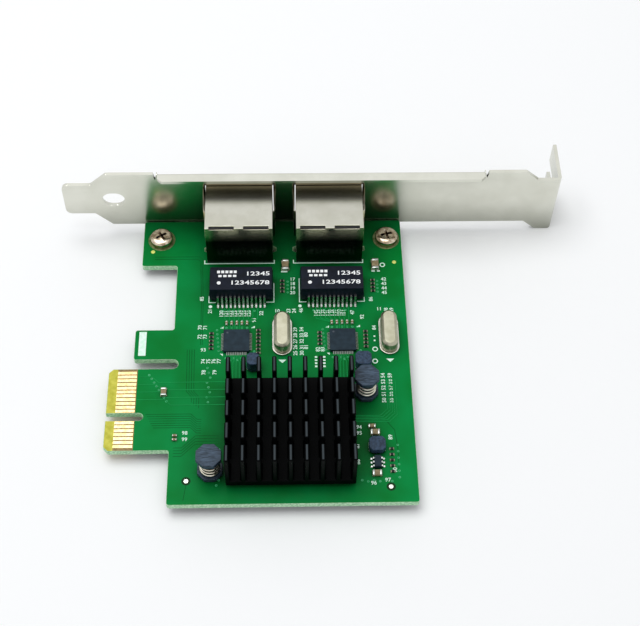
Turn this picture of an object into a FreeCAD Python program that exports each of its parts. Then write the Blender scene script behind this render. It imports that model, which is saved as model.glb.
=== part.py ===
import FreeCAD, Part
import math
import os
from FreeCAD import Vector

# A two-port gigabit network card on a full-height slot bracket.
#
# Frame: X runs along the bracket from the slot end to the screw flange, Y runs
# from the card's free edge to the bracket, Z is up on the component side.
# The origin is the datum of the edge connector: the tip of the contact tongue,
# on the centre line of the key notch, on the board's component face.
# "Depth" is a distance in front of the bracket's inner face.

# ---- edge connector and board --------------------------------------------
board_thickness = 1.6
board_gap = 0.3              # board edge to bracket
bracket_to_key = 55.76
contact_pitch = 1.0
contact_width = 0.7
contact_length = 4.3
contact_setback = 2.1
contact_plating = 0.05
long_side_contacts = 11
short_side_contacts = 7
key_width = 1.9
key_depth = 8.3
key_contact_margin = 0.55    # notch wall to the nearest contact centre
tongue_end_margin = 1.1      # last contact centre to the tongue's side
tongue_chamfer = 1.0
body_left = 14.4
upper_tab_left = 5.9
upper_tab_depth = 13.9
hook_tab_left = 5.4
hook_tab_width = 8.2
hook_slot_width = 2.5
board_corner = 0.6
front_margin = 3.85          # heat sink to the front edge
right_margin = 4.5           # right-hand crystal to the right edge

# ---- bracket ----------------------------------------------------------------
sheet = 0.86
bend_radius = 0.25
sheet_corner = 0.6
bracket_tip = 12.9           # reach beyond the contact tips
bracket_length = 120.02
bracket_width = 18.42
bracket_low_edge = 0.96      # lower edge below the component face
slot_tongue_width = 10.4
slot_tongue_centre = 9.45    # above the lower edge
slot_tongue_length = 7.0
slot_tongue_corner = 1.6
shoulder_run = 3.9
lip_start = 23.2             # from the bracket's tip
lip_length = 77.9
lip_reach = 2.15
lip_chamfer = 1.0
relief_width = 1.3
relief_depth = 1.9
step_drop = 3.0              # the screw end sits this much lower
step_run = 3.2
step_from_end = 8.9
flange_depth = 11.43
screw_slot_width = 4.42
screw_slot_depth = 6.4
screw_slot_height = 10.5     # slot centre above the end's lower edge
locating_hole_radius = 2.25
locating_hole_extra = 0.85
locating_hole_from_tip = 12.0
ear_width = 7.0
ear_beyond_screw = 3.3
collar_height = 0.9
collar_wall = 0.7

# ---- bracket screws ---------------------------------------------------------
screw_radius = 1.45
screw_clearance = 0.2        # in the board
thread_clearance = 0.05      # in the ear
screw_head_radius = 2.75
screw_head_height = 1.9
screw_head_top_radius = 1.9
screw_crown = 0.75           # height of the head's bevel
screw_tip = 0.64             # past the collar
screw_depth = 5.95
left_screw_inset = 4.4       # from the upper tab's side
right_screw_inset = 3.7      # from the board's right side
recess_span = 2.9
recess_width = 0.65
recess_depth = 1.1

# ---- network jacks ------------------------------------------------------------
port_1_x = 29.55
port_pitch = 21.45
port_count = 2
jack_width = 15.9
jack_depth = 13.1
jack_proud = 0.6             # beyond the bracket's outer face
jack_clearance = 0.2
shield_sheet = 0.25
roof_slot_length = 5.9
roof_slot_width = 0.8
roof_tab_width = 2.2
spring_reach = 0.75
spring_root_reach = 0.5
spring_length = 6.9
spring_thickness = 0.2
spring_low = 3.0
spring_high = 12.6
plug_width = 11.9
plug_floor = 2.2
plug_height = 6.8
plug_depth = 12.2
latch_width = 6.3
latch_height = 2.4
window_margin = 0.25         # shield window round the plug opening
lamp_width = 2.8
lamp_height = 2.0
lamp_depth = 4.0
lamp_side_wall = 0.5
lamp_rise = 0.8              # above the plug opening
lamp_cover = 1.5             # lamp to the top of the jack
peg_radius = 1.45
peg_length = 1.4
peg_spacing = 11.43
peg_depth = 5.6
peg_clearance = 0.1
wire_count = 8
wire_pitch = 1.02
wire_width = 0.4
wire_thickness = 0.3
wire_peak = 4.4
wire_pocket_floor = 0.7
wire_row_spacing = 1.8
wire_back_wall = 1.6         # rear pin row to the rear wall
wire_front_inset = 1.8       # bend to the front frame
wire_return_length = 7.5
comb_front_wall = 1.2
comb_clearance = 0.2
pin_tail = 1.2               # below the board
pin_hole_clearance = 0.2
post_width = 1.3
post_depth = 9.0
solder_reach = 0.45
solder_height = 0.8
solder_tip_wall = 0.11

# ---- magnetics modules ----------------------------------------------------------
magnetics_gap = 4.4          # behind the jack
magnetics_offset = 0.4       # from the port's centre line
magnetics_width = 15.1
magnetics_depth = 7.1
magnetics_height = 4.7
magnetics_standoff = 0.25
magnetics_draft = 0.25
lead_count = 12
lead_pitch = 1.0
lead_width = 0.45
lead_thickness = 0.2
lead_reach = 1.9
lead_foot = 0.9
lead_shoulder = 0.5
lead_drop = 0.15             # below the middle of the body

# ---- network controllers ----------------------------------------------------------
controller_gap = 8.45        # in front of the magnetics
controller_offsets = (-0.6, 2.6)
controller_size = 6.0
controller_height = 0.9
controller_pads = 12
controller_pad_pitch = 0.4
pad_width = 0.22
pad_reach = 0.6
pad_height = 0.35
chip_standoff = 0.05
belly_pad_share = 0.7        # of the chip's side

# ---- crystals ---------------------------------------------------------------------
crystal_gap = 4.3            # in front of the magnetics
crystal_offsets = (10.0, 13.4)
crystal_length = 11.05
crystal_width = 4.65
crystal_flange = 0.45
crystal_rim = 0.45
crystal_height = 3.5
crystal_edge = 0.65
crystal_lead_spacing = 4.88
crystal_lead_radius = 0.22

# ---- bridge chip and heat sink -------------------------------------------------------
sink_gap = 8.6               # in front of the controllers
sink_offset = 0.95           # from the middle of the ports
bridge_size = 10.0
bridge_height = 0.9
bridge_pads = 9
bridge_pad_pitch = 1.0
pad_thickness = 0.2
sink_base = 2.0
fin_columns = 9
fin_rows = 5
fin_thickness = 1.0
fin_pitch = 3.39
fin_length = 4.15
fin_row_gap = 1.35
fin_height = 9.0

# ---- wound parts ----------------------------------------------------------------------
drum_radius = 2.75
drum_height = 7.2
drum_flange = 1.2
drum_core_radius = 1.1
winding_radius = 2.3
drum_lead_spacing = 2.5
drum_lead_radius = 0.25
sink_to_drum_1 = 0.35
sink_to_drum_2 = 0.75
drum_1_from_rear = 2.2
drum_2_from_front = 4.25
choke_corner = 0.7
choke_standoff = 0.3
choke_pad = 0.9
choke_1_size = (2.9, 3.3, 3.4)
choke_1_offset = (3.9, 4.95)     # from controller 1 and the heat sink's rear
choke_2_size = (3.7, 3.6, 3.0)
choke_2_offset = (4.5, 5.2)
choke_3_size = (3.65, 3.6, 2.0)
choke_3_to_regulator = 3.9

# ---- regulator and chip parts -----------------------------------------------------------
regulator_offset = 1.9       # from the first drum's centre
regulator_from_front = 5.75  # from the heat sink's front
regulator_width = 1.6
regulator_length = 2.9
regulator_height = 1.1
regulator_standoff = 0.1
regulator_draft = 0.06
regulator_pitch = 0.95
regulator_leads_a_side = 3
regulator_lead_width = 0.4
regulator_lead_thickness = 0.14
regulator_shoulder = 0.2
regulator_lead_slope = 0.15
regulator_reach = 0.75
end_cap_share = 0.22
port_capacitor = (2.9, 1.6, 1.0)     # length, width, height
port_capacitor_offsets = (10.85, 11.1)
port_capacitor_gap = 1.1             # jack's rear wall to its centre
supply_capacitor = (2.0, 1.25, 0.8)
supply_offset = -0.25
supply_front_gap = 2.65
supply_rear_gap = 7.5
filter_capacitor = (1.6, 0.8, 0.7)
filter_offset = (-0.9, 9.1)
hook_capacitor = (2.0, 1.2, 0.8)
hook_capacitor_place = (-1.7, -6.4)  # from the board's step and the tongue's rear
coupling_length = 1.0
coupling_width = 0.5
coupling_height = 0.5
coupling_offset = 1.2                # behind the board's step
coupling_places = (-5.0, -6.0)
coupling_row_gap = 5.2
coupling_row_pitch = 1.2
coupling_row_count = 5
resistor_length = 1.0
resistor_width = 0.5
resistor_height = 0.35
resistor_pitch = 1.05
strap_pitch = 1.4
# columns of resistors: offset in X and offset of the first in Y, then how many
left_columns = ((-5.85, 2.4), (-5.3, 2.4))
left_counts = (5, 4)
right_columns = ((5.05, 3.2), (5.4, 2.6))
right_counts = (7, 5)
port_columns = ((10.1, 2.4), (10.3, 2.4))
port_counts = (4, 4)
strap_column = (3.2, 3.4)
strap_count = 5

# ---- how the solids are drawn -----------------------------------------------------------
past = 1.0                   # how far a cutter runs past the stock
fused = 0.5                  # how far two fused solids reach into each other
full_round = 0.01            # a full-round corner stops this much short of half the width
parting_band = 0.12          # share of a moulded block's height
pin_sides = 6
peg_sides = 12
drum_sides = 8


def box(x0, x1, y0, y1, z0, z1):
    return Part.makeBox(x1 - x0, y1 - y0, z1 - z0, Vector(x0, y0, z0))


def block(x, y, width, depth, z0, z1):
    return box(x - width / 2, x + width / 2, y - depth / 2, y + depth / 2, z0, z1)


def rod(x, y, radius, z0, z1):
    return Part.makeCylinder(radius, z1 - z0, Vector(x, y, z0))


def flat_face(points):
    return Part.Face(Part.makePolygon(points + points[:1]))


def many_sided(x, y, radius, sides, z):
    """Corners of a polygon drawn outside a circle of this radius."""
    corner = radius / math.cos(math.pi / sides)
    points = []
    for i in range(sides):
        angle = (i + 0.5) * 2 * math.pi / sides
        points.append(Vector(x + corner * math.cos(angle), y + corner * math.sin(angle), z))
    return points


def sided_rod(x, y, radius, sides, z0, z1):
    return flat_face(many_sided(x, y, radius, sides, z0)).extrude(Vector(0, 0, z1 - z0))


def rounded_wire(corners):
    """Closed wire through (point, radius) corners, each turned by an arc."""
    count = len(corners)
    starts = []
    ends = []
    arcs = []
    for i in range(count):
        point, radius = corners[i]
        to_last = (corners[i - 1][0] - point).normalize()
        to_next = (corners[(i + 1) % count][0] - point).normalize()
        if radius <= 0:
            starts.append(point)
            ends.append(point)
            arcs.append(None)
            continue
        half = to_last.getAngle(to_next) / 2
        start = point + to_last * (radius / math.tan(half))
        end = point + to_next * (radius / math.tan(half))
        inward = (to_last + to_next).normalize()
        middle = point + inward * (radius / math.sin(half) - radius)
        starts.append(start)
        ends.append(end)
        arcs.append(Part.Arc(start, middle, end).toShape())
    edges = []
    for i in range(count):
        if arcs[i] is not None:
            edges.append(arcs[i])
        following = starts[(i + 1) % count]
        if (following - ends[i]).Length > 1e-6:
            edges.append(Part.makeLine(ends[i], following))
    return Part.Wire(edges)


def prism(corners, direction):
    """Solid swept along a straight direction from rounded corners."""
    return Part.Face(rounded_wire(corners)).extrude(direction)


def sharp(points):
    return [(point, 0) for point in points]


def bent_strip(place, run, reach, leg):
    """L-shaped sheet: the outer corner is at (0, 0) and both legs are one sheet thick."""
    outer = bend_radius + sheet
    corners = [
        (place(0, leg), 0),
        (place(0, 0), outer),
        (place(reach, 0), 0),
        (place(reach, sheet), 0),
        (place(sheet, sheet), bend_radius),
        (place(sheet, leg), 0),
    ]
    return prism(corners, run)


def ribbon(x, points, thickness, width):
    """Flat wire bent in the YZ plane along (y, z) points, centred on x."""
    count = len(points)
    left = []
    right = []
    for i in range(count):
        point = Vector(x - width / 2, points[i][0], points[i][1])
        before = Vector(0, 0, 0)
        after = Vector(0, 0, 0)
        if i > 0:
            before = Vector(0, points[i][0] - points[i - 1][0], points[i][1] - points[i - 1][1])
            before.normalize()
        if i < count - 1:
            after = Vector(0, points[i + 1][0] - points[i][0], points[i + 1][1] - points[i][1])
            after.normalize()
        along = (before + after).normalize()
        side = Vector(0, -along.z, along.y)
        known = before if i > 0 else after
        mitre = thickness / 2 / max(along.dot(known), 0.5)
        left.append(point + side * mitre)
        right.append(point - side * mitre)
    outline = left + right[::-1]
    return prism(sharp(outline), Vector(width, 0, 0))


def stadium(x, y, width, length, z0, z1):
    """Flat-sided slab with round ends, its length along Y."""
    end = width / 2 - full_round
    half_x = width / 2
    half_y = length / 2
    corners = [
        (Vector(x - half_x, y - half_y, z0), end),
        (Vector(x + half_x, y - half_y, z0), end),
        (Vector(x + half_x, y + half_y, z0), end),
        (Vector(x - half_x, y + half_y, z0), end),
    ]
    return prism(corners, Vector(0, 0, z1 - z0))


def skin(rings):
    """Flat faces between each ring of points and the next."""
    faces = []
    for lower, upper in zip(rings, rings[1:]):
        for i in range(len(lower)):
            faces.append(flat_face([lower[i - 1], lower[i], upper[i], upper[i - 1]]))
    return faces


def closed_solid(faces):
    solid = Part.Solid(Part.makeShell(faces))
    if solid.Volume < 0:
        solid.reverse()
    return solid


def moulded_block(x, y, width, depth, z0, z1, draft):
    """Moulded package: upright at the parting band, drafted above and below it."""
    band = (z1 - z0) * parting_band
    middle = (z0 + z1) / 2 - band
    rings = []
    for z, inset in ((z0, draft), (middle, 0), (middle + band, 0), (z1, draft)):
        half_x = width / 2 - inset
        half_y = depth / 2 - inset
        rings.append([
            Vector(x - half_x, y - half_y, z),
            Vector(x + half_x, y - half_y, z),
            Vector(x + half_x, y + half_y, z),
            Vector(x - half_x, y + half_y, z),
        ])
    return closed_solid(skin(rings) + [flat_face(rings[0]), flat_face(rings[-1])])


def save(name, solids):
    shape = Part.makeCompound(solids) if len(solids) > 1 else solids[0]
    shape.exportStep("parts/" + name + ".step")


# ---- places that several pieces share -----------------------------------------
bracket_face = bracket_to_key


def behind(depth):
    """Y of a place this far in front of the bracket's inner face."""
    return bracket_face - depth


board_bottom = -board_thickness
tongue_rear = (key_width / 2 + key_contact_margin
               + (long_side_contacts - 1) * contact_pitch + tongue_end_margin)
tongue_front = -(key_width / 2 + key_contact_margin
                 + (short_side_contacts - 1) * contact_pitch + tongue_end_margin)
ports = [port_1_x + i * port_pitch for i in range(port_count)]
jack_height = plug_floor + plug_height + lamp_rise + lamp_height + lamp_cover
jack_rear = behind(jack_depth)
jack_front = bracket_face + sheet + jack_proud
magnetics_y = jack_rear - magnetics_gap - magnetics_depth / 2
magnetics_front = magnetics_y - magnetics_depth / 2
controller_y = magnetics_front - controller_gap - controller_size / 2
crystal_y = magnetics_front - crystal_gap - crystal_length / 2
controllers = [ports[i] + controller_offsets[i] for i in range(port_count)]
crystals = [ports[i] + crystal_offsets[i] for i in range(port_count)]
sink_width = (fin_columns - 1) * fin_pitch + fin_thickness
sink_depth = fin_rows * fin_length + (fin_rows - 1) * fin_row_gap
sink_x = (ports[0] + ports[-1]) / 2 + sink_offset
sink_rear = controller_y - controller_size / 2 - sink_gap
sink_front = sink_rear - sink_depth
sink_y = (sink_rear + sink_front) / 2
sink_left = sink_x - sink_width / 2
sink_right = sink_x + sink_width / 2
board_right = crystals[-1] + right_margin
board_rear = bracket_face - board_gap
board_front = sink_front - front_margin
screw_y = behind(screw_depth)
screws = [upper_tab_left + left_screw_inset, board_right - right_screw_inset]
drums = [
    (sink_right + sink_to_drum_1 + drum_radius, sink_rear - drum_1_from_rear),
    (sink_left - sink_to_drum_2 - drum_radius, sink_front + drum_2_from_front),
]
regulator_x = drums[0][0] + regulator_offset
regulator_y = sink_front + regulator_from_front
chokes = {
    "choke_1": (controllers[0] + choke_1_offset[0], sink_rear + choke_1_offset[1]) + choke_1_size,
    "choke_2": (controllers[1] + choke_2_offset[0], sink_rear + choke_2_offset[1]) + choke_2_size,
    "choke_3": (regulator_x, regulator_y + choke_3_to_regulator) + choke_3_size,
}
pin_rows = [jack_rear + wire_back_wall + i * wire_row_spacing for i in range(2)]


def wire_places(port_x):
    """Centre and pin row of each jack wire, in two staggered rows."""
    first = port_x - (wire_count - 1) / 2 * wire_pitch
    return [(first + i * wire_pitch, pin_rows[i % 2]) for i in range(wire_count)]


def board_outline():
    hook_slot_round = hook_slot_width / 2 - full_round
    hook_slot_x = body_left + hook_slot_width / 2
    hook_tab_front = tongue_rear + hook_slot_width
    hook_tab_rear = hook_tab_front + hook_tab_width
    return [
        (Vector(upper_tab_left, board_rear, 0), board_corner),
        (Vector(board_right, board_rear, 0), board_corner),
        (Vector(board_right, board_front, 0), board_corner),
        (Vector(body_left, board_front, 0), board_corner),
        (Vector(body_left, tongue_front, 0), board_corner),
        (Vector(tongue_chamfer, tongue_front, 0), 0),
        (Vector(0, tongue_front + tongue_chamfer, 0), 0),
        (Vector(0, tongue_rear - tongue_chamfer, 0), 0),
        (Vector(tongue_chamfer, tongue_rear, 0), 0),
        (Vector(hook_slot_x, tongue_rear, 0), hook_slot_round),
        (Vector(hook_slot_x, hook_tab_front, 0), hook_slot_round),
        (Vector(hook_tab_left, hook_tab_front, 0), board_corner),
        (Vector(hook_tab_left, hook_tab_rear, 0), board_corner),
        (Vector(body_left, hook_tab_rear, 0), board_corner),
        (Vector(body_left, behind(upper_tab_depth), 0), board_corner),
        (Vector(upper_tab_left, behind(upper_tab_depth), 0), board_corner),
    ]


def make_board():
    """Glass-epoxy board, routed to shape, with the key notch and drilled holes."""
    board = prism(board_outline(), Vector(0, 0, board_bottom))
    key_end = key_depth - key_width / 2
    cuts = [
        box(-past, key_end, -key_width / 2, key_width / 2, board_bottom - past, past),
        rod(key_end, 0, key_width / 2, board_bottom - past, past),
    ]
    for x in screws:
        cuts.append(rod(x, screw_y, screw_radius + screw_clearance, board_bottom - past, past))
    holes = []
    pin_radius = wire_width / 2 + pin_hole_clearance
    for port_x in ports:
        for side in (-1, 1):
            post_x = port_x + side * (jack_width - shield_sheet) / 2
            post_radius = post_width / 2 + pin_hole_clearance
            holes.append((post_x, behind(post_depth), post_radius, pin_sides))
            peg_x = port_x + side * peg_spacing / 2
            holes.append((peg_x, behind(peg_depth), peg_radius + peg_clearance, peg_sides))
        for x, y in wire_places(port_x):
            holes.append((x, y, pin_radius, pin_sides))
    for x in crystals:
        for side in (-1, 1):
            y = crystal_y + side * crystal_lead_spacing / 2
            holes.append((x, y, crystal_lead_radius + pin_hole_clearance, pin_sides))
    for x, y in drums:
        for side in (-1, 1):
            lead_x = x + side * drum_lead_spacing / 2
            holes.append((lead_x, y, drum_lead_radius + pin_hole_clearance, pin_sides))
    for x, y, radius, sides in holes:
        cuts.append(sided_rod(x, y, radius, sides, board_bottom - past, past))
    save("circuit_board", [board.cut(cuts)])


def contact_places():
    edge = key_width / 2 + key_contact_margin
    places = [edge + i * contact_pitch for i in range(long_side_contacts)]
    places += [-edge - i * contact_pitch for i in range(short_side_contacts)]
    return places


def make_contacts():
    """Gold-plated fingers on both faces of the tongue."""
    levels = (("edge_contacts_top", 0), ("edge_contacts_bottom", board_bottom - contact_plating))
    for name, low in levels:
        fingers = []
        for y in contact_places():
            finger = box(contact_setback, contact_setback + contact_length,
                         y - contact_width / 2, y + contact_width / 2,
                         low, low + contact_plating)
            fingers.append(finger)
        save(name, fingers)


tip_x = -bracket_tip
end_x = tip_x + bracket_length
low_z = -bracket_low_edge
high_z = low_z + bracket_width
tongue_z = low_z + slot_tongue_centre


def jack_cutout(port_x):
    half = jack_width / 2 + jack_clearance
    return box(port_x - half, port_x + half, bracket_face - past, bracket_face + sheet + past,
               -jack_clearance, jack_height + jack_clearance)


def bracket_outline():
    neck_x = tip_x + slot_tongue_length
    half = slot_tongue_width / 2
    step_x = end_x - step_from_end
    fold_x = end_x - sheet - bend_radius
    points = [
        (tip_x, tongue_z + half, slot_tongue_corner),
        (tip_x, tongue_z - half, slot_tongue_corner),
        (neck_x, tongue_z - half, sheet_corner),
        (neck_x + shoulder_run, low_z, sheet_corner),
        (step_x + step_run / 2, low_z, sheet_corner),
        (step_x + step_run * 1.5, low_z - step_drop, sheet_corner),
        (fold_x, low_z - step_drop, 0),
        (fold_x, high_z - step_drop, 0),
        (step_x + step_run, high_z - step_drop, sheet_corner),
        (step_x, high_z, sheet_corner),
        (neck_x + shoulder_run, high_z, sheet_corner),
        (neck_x, tongue_z + half, sheet_corner),
    ]
    return [(Vector(x, bracket_face, z), radius) for x, z, radius in points]


def make_lip():
    """Stiffening lip folded over the component side, its ends chamfered."""
    start = tip_x + lip_start
    outer_y = bracket_face + sheet

    def place(u, v):
        return Vector(start, outer_y - u, high_z - v)

    lip = bent_strip(place, Vector(lip_length, 0, 0), lip_reach + sheet, relief_depth)
    edge_y = bracket_face - lip_reach
    chamfers = []
    for x, inward in ((start, 1), (start + lip_length, -1)):
        corner = [
            Vector(x, edge_y, high_z + past),
            Vector(x + inward * lip_chamfer, edge_y, high_z + past),
            Vector(x, edge_y + lip_chamfer, high_z + past),
        ]
        chamfers.append(prism(sharp(corner), Vector(0, 0, -sheet - 2 * past)))
    return lip.cut(chamfers)


def make_ear(x):
    """Ear folded under the board, with a drawn collar for the thread."""
    outer_y = bracket_face + sheet
    ear_low = board_bottom - sheet

    def place(u, v):
        return Vector(x - ear_width / 2, outer_y - u, ear_low + v)

    reach = screw_depth + ear_beyond_screw + sheet
    ear = bent_strip(place, Vector(ear_width, 0, 0), reach, low_z - ear_low + fused)
    thread = screw_radius + thread_clearance
    collar = rod(x, screw_y, thread + collar_wall, ear_low - collar_height, ear_low + sheet / 2)
    bore = rod(x, screw_y, thread, ear_low - collar_height - past, past)
    return ear.fuse(collar).cut(bore)


def make_flange():
    """Flange folded outward at the screw end, with an open screw slot."""
    low = low_z - step_drop

    def place(u, v):
        return Vector(end_x - u, bracket_face + v, low)

    flange = bent_strip(place, Vector(0, 0, bracket_width), sheet + bend_radius, flange_depth)
    slot_z = low + screw_slot_height
    slot_y = bracket_face + flange_depth - screw_slot_depth
    radius = screw_slot_width / 2
    edge_y = bracket_face + flange_depth
    slot = box(end_x - 2 * sheet, end_x + past, slot_y + radius, edge_y + past,
               slot_z - radius, slot_z + radius)
    root = Part.makeCylinder(radius, 2 * sheet + past,
                             Vector(end_x - 2 * sheet, slot_y + radius, slot_z), Vector(1, 0, 0))
    return flange.cut([slot, root])


def make_bracket():
    """Full-height slot bracket: one stamped and folded sheet of plated steel."""
    plate = prism(bracket_outline(), Vector(0, sheet, 0))
    inside = bracket_face - past
    through = Vector(0, sheet + 2 * past, 0)
    start = tip_x + lip_start
    for x in (start, start + lip_length + relief_width):
        notch = [
            Vector(x, inside, high_z + past),
            Vector(x - relief_width, inside, high_z + past),
            Vector(x - relief_width / 2, inside, high_z - relief_depth),
        ]
        plate = plate.cut(prism(sharp(notch), through))
    room = box(start, start + lip_length, inside, inside + through.y,
               high_z - relief_depth, high_z + past)
    plate = plate.cut(room)
    folded = plate.fuse([make_lip(), make_flange()] + [make_ear(x) for x in screws])
    hole_x = tip_x + locating_hole_from_tip
    half = locating_hole_radius + locating_hole_extra / 2
    hole_corners = [
        Vector(hole_x - half, inside, tongue_z - locating_hole_radius),
        Vector(hole_x + half, inside, tongue_z - locating_hole_radius),
        Vector(hole_x + half, inside, tongue_z + locating_hole_radius),
        Vector(hole_x - half, inside, tongue_z + locating_hole_radius),
    ]
    hole = [(point, locating_hole_radius - full_round) for point in hole_corners]
    cuts = [jack_cutout(x) for x in ports]
    cuts.append(prism(hole, through))
    save("bracket", [folded.cut(cuts).removeSplitter()])


def make_screws():
    """Pan-head machine screws with a cross recess."""
    tip_z = board_bottom - sheet - collar_height - screw_tip
    solids = []
    for x in screws:
        profile = [
            Vector(x, screw_y, tip_z),
            Vector(x + screw_radius, screw_y, tip_z),
            Vector(x + screw_radius, screw_y, 0),
            Vector(x + screw_head_radius, screw_y, 0),
            Vector(x + screw_head_radius, screw_y, screw_head_height - screw_crown),
            Vector(x + screw_head_top_radius, screw_y, screw_head_height),
            Vector(x, screw_y, screw_head_height),
        ]
        body = Part.Face(Part.makePolygon(profile + profile[:1]))
        body = body.revolve(Vector(x, screw_y, 0), Vector(0, 0, 1), 360)
        low = screw_head_height - recess_depth
        slots = [
            block(x, screw_y, recess_span, recess_width, low, screw_head_height + past),
            block(x, screw_y, recess_width, recess_span, low, screw_head_height + past),
        ]
        solids.append(body.cut(slots))
    save("bracket_screws", solids)


def lamp_place(port_x, side):
    """Centre x and lower z of the lamp window beside the latch."""
    x = port_x + side * (jack_width / 2 - shield_sheet - lamp_side_wall - lamp_width / 2)
    return x, plug_floor + plug_height + lamp_rise


def make_shield(name, port_x):
    """Folded tin-plated shield: roof, walls, a front frame and board posts."""
    half = jack_width / 2
    shell = box(port_x - half, port_x + half, jack_rear, jack_front, 0, jack_height)
    inner = box(port_x - half + shield_sheet, port_x + half - shield_sheet,
                jack_rear + shield_sheet, jack_front - shield_sheet,
                -past, jack_height - shield_sheet)
    margin = window_margin
    window = block(port_x, jack_front, plug_width + 2 * margin, 2 * past,
                   plug_floor - margin, plug_floor + plug_height + margin)
    latch = block(port_x, jack_front, latch_width + 2 * margin, 2 * past,
                  plug_floor, plug_floor + plug_height + latch_height + margin)
    cuts = [inner, window, latch]
    for side in (-1, 1):
        x, z = lamp_place(port_x, side)
        cuts.append(block(x, jack_front, lamp_width, 2 * past, z, z + lamp_height))
        slot_x = port_x + side * (roof_tab_width + roof_slot_length) / 2
        cuts.append(block(slot_x, jack_rear + roof_slot_width / 2, roof_slot_length,
                          roof_slot_width, jack_height - 2 * shield_sheet, jack_height + past))
    shield = shell.cut(cuts)
    extras = []
    for side in (-1, 1):
        wall_x = port_x + side * half
        spring_x = wall_x + side * spring_reach
        knee_x = wall_x + side * spring_root_reach
        spring_y = bracket_face - jack_clearance
        knee_y = spring_y - spring_length
        profile = [
            Vector(wall_x, knee_y - spring_root_reach, spring_low),
            Vector(knee_x, knee_y, spring_low),
            Vector(spring_x, spring_y, spring_low),
            Vector(spring_x - side * spring_thickness, spring_y, spring_low),
            Vector(knee_x - side * spring_thickness, knee_y + spring_thickness, spring_low),
            Vector(wall_x, knee_y + spring_thickness - spring_root_reach, spring_low),
        ]
        extras.append(prism(sharp(profile), Vector(0, 0, spring_high - spring_low)))
        post_x = wall_x - side * shield_sheet / 2
        extras.append(block(post_x, behind(post_depth), shield_sheet, post_width,
                            board_bottom - pin_tail, 0))
    save(name, [shield.fuse(extras)])


def make_housing(name, port_x):
    """Moulded insert with the plug cavity, the latch step and the wire comb."""
    half = jack_width / 2 - shield_sheet
    rear = jack_rear + shield_sheet
    front = jack_front - shield_sheet
    housing = box(port_x - half, port_x + half, rear, front, 0, jack_height - shield_sheet)
    cavity_rear = jack_front - plug_depth
    top = plug_floor + plug_height
    cuts = [
        box(port_x - plug_width / 2, port_x + plug_width / 2, cavity_rear, front + past,
            plug_floor, top),
        box(port_x - latch_width / 2, port_x + latch_width / 2, cavity_rear, front + past,
            plug_floor, top + latch_height),
    ]
    comb = wire_count * wire_pitch / 2
    pocket_front = front - comb_front_wall
    pocket_rear = pin_rows[0] - wire_thickness - comb_clearance
    cuts.append(box(port_x - comb, port_x + comb, pocket_rear, pocket_front,
                    wire_pocket_floor, plug_floor))
    cuts.append(box(port_x - comb, port_x + comb, pocket_rear,
                    pin_rows[-1] + wire_thickness + comb_clearance, -past, plug_floor))
    for side in (-1, 1):
        x, z = lamp_place(port_x, side)
        cuts.append(box(x - lamp_width / 2, x + lamp_width / 2, jack_front - lamp_depth,
                        front + past, z, z + lamp_height))
    housing = housing.cut(cuts)
    pegs = []
    for side in (-1, 1):
        peg_x = port_x + side * peg_spacing / 2
        pegs.append(sided_rod(peg_x, behind(peg_depth), peg_radius, peg_sides,
                              -peg_length, fused))
    save(name, [housing.fuse(pegs)])


def make_wires(name, port_x):
    """Eight gold-plated wires: board pin, run along the floor, sprung return."""
    run_z = wire_pocket_floor + wire_thickness
    bend_y = jack_front - shield_sheet - wire_front_inset
    solids = []
    for x, pin_y in wire_places(port_x):
        points = [
            (pin_y, board_bottom - pin_tail),
            (pin_y, run_z),
            (bend_y, run_z),
            (bend_y - wire_return_length, wire_peak - wire_thickness / 2),
        ]
        solids.append(ribbon(x, points, wire_thickness, wire_width))
    save(name, solids)


def make_lamps(name, port_x):
    """Two lamp windows beside the latch."""
    solids = []
    for side in (-1, 1):
        x, z = lamp_place(port_x, side)
        solids.append(box(x - lamp_width / 2, x + lamp_width / 2, jack_front - lamp_depth,
                          jack_front, z, z + lamp_height))
    save(name, solids)


def make_magnetics(name, port_x):
    """Moulded transformer module with two rows of gull-wing leads."""
    x = port_x + magnetics_offset
    body = moulded_block(x, magnetics_y, magnetics_width, magnetics_depth,
                         magnetics_standoff, magnetics_height, magnetics_draft)
    save(name + "_body", [body])
    first = x - (lead_count - 1) / 2 * lead_pitch
    lead_z = (magnetics_standoff + magnetics_height) / 2 - lead_drop
    half = magnetics_depth / 2
    leads = []
    for i in range(lead_count):
        for side in (-1, 1):
            points = [
                (magnetics_y + side * half, lead_z),
                (magnetics_y + side * (half + lead_shoulder), lead_z),
                (magnetics_y + side * (half + lead_reach - lead_foot), lead_thickness / 2),
                (magnetics_y + side * (half + lead_reach), lead_thickness / 2),
            ]
            leads.append(ribbon(first + i * lead_pitch, points, lead_thickness, lead_width))
    save(name + "_leads", leads)


def make_leadless_chip(name, x, y, size, height, pads, pitch):
    """Leadless package on solder fillets along its four sides."""
    save(name + "_body", [block(x, y, size, size, chip_standoff, height)])
    fillets = []
    first = -(pads - 1) / 2 * pitch
    for turn in range(4):
        for i in range(pads):
            place = first + i * pitch - pad_width / 2
            outline = [
                Vector(x + place, y - size / 2, 0),
                Vector(x + place, y - size / 2 - pad_reach, 0),
                Vector(x + place, y - size / 2, pad_height),
            ]
            fillet = prism(sharp(outline), Vector(pad_width, 0, 0))
            fillet.rotate(Vector(x, y, 0), Vector(0, 0, 1), 90 * turn)
            fillets.append(fillet)
    belly = size * belly_pad_share
    fillets.append(block(x, y, belly, belly, 0, chip_standoff))
    save(name + "_solder", fillets)


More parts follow.
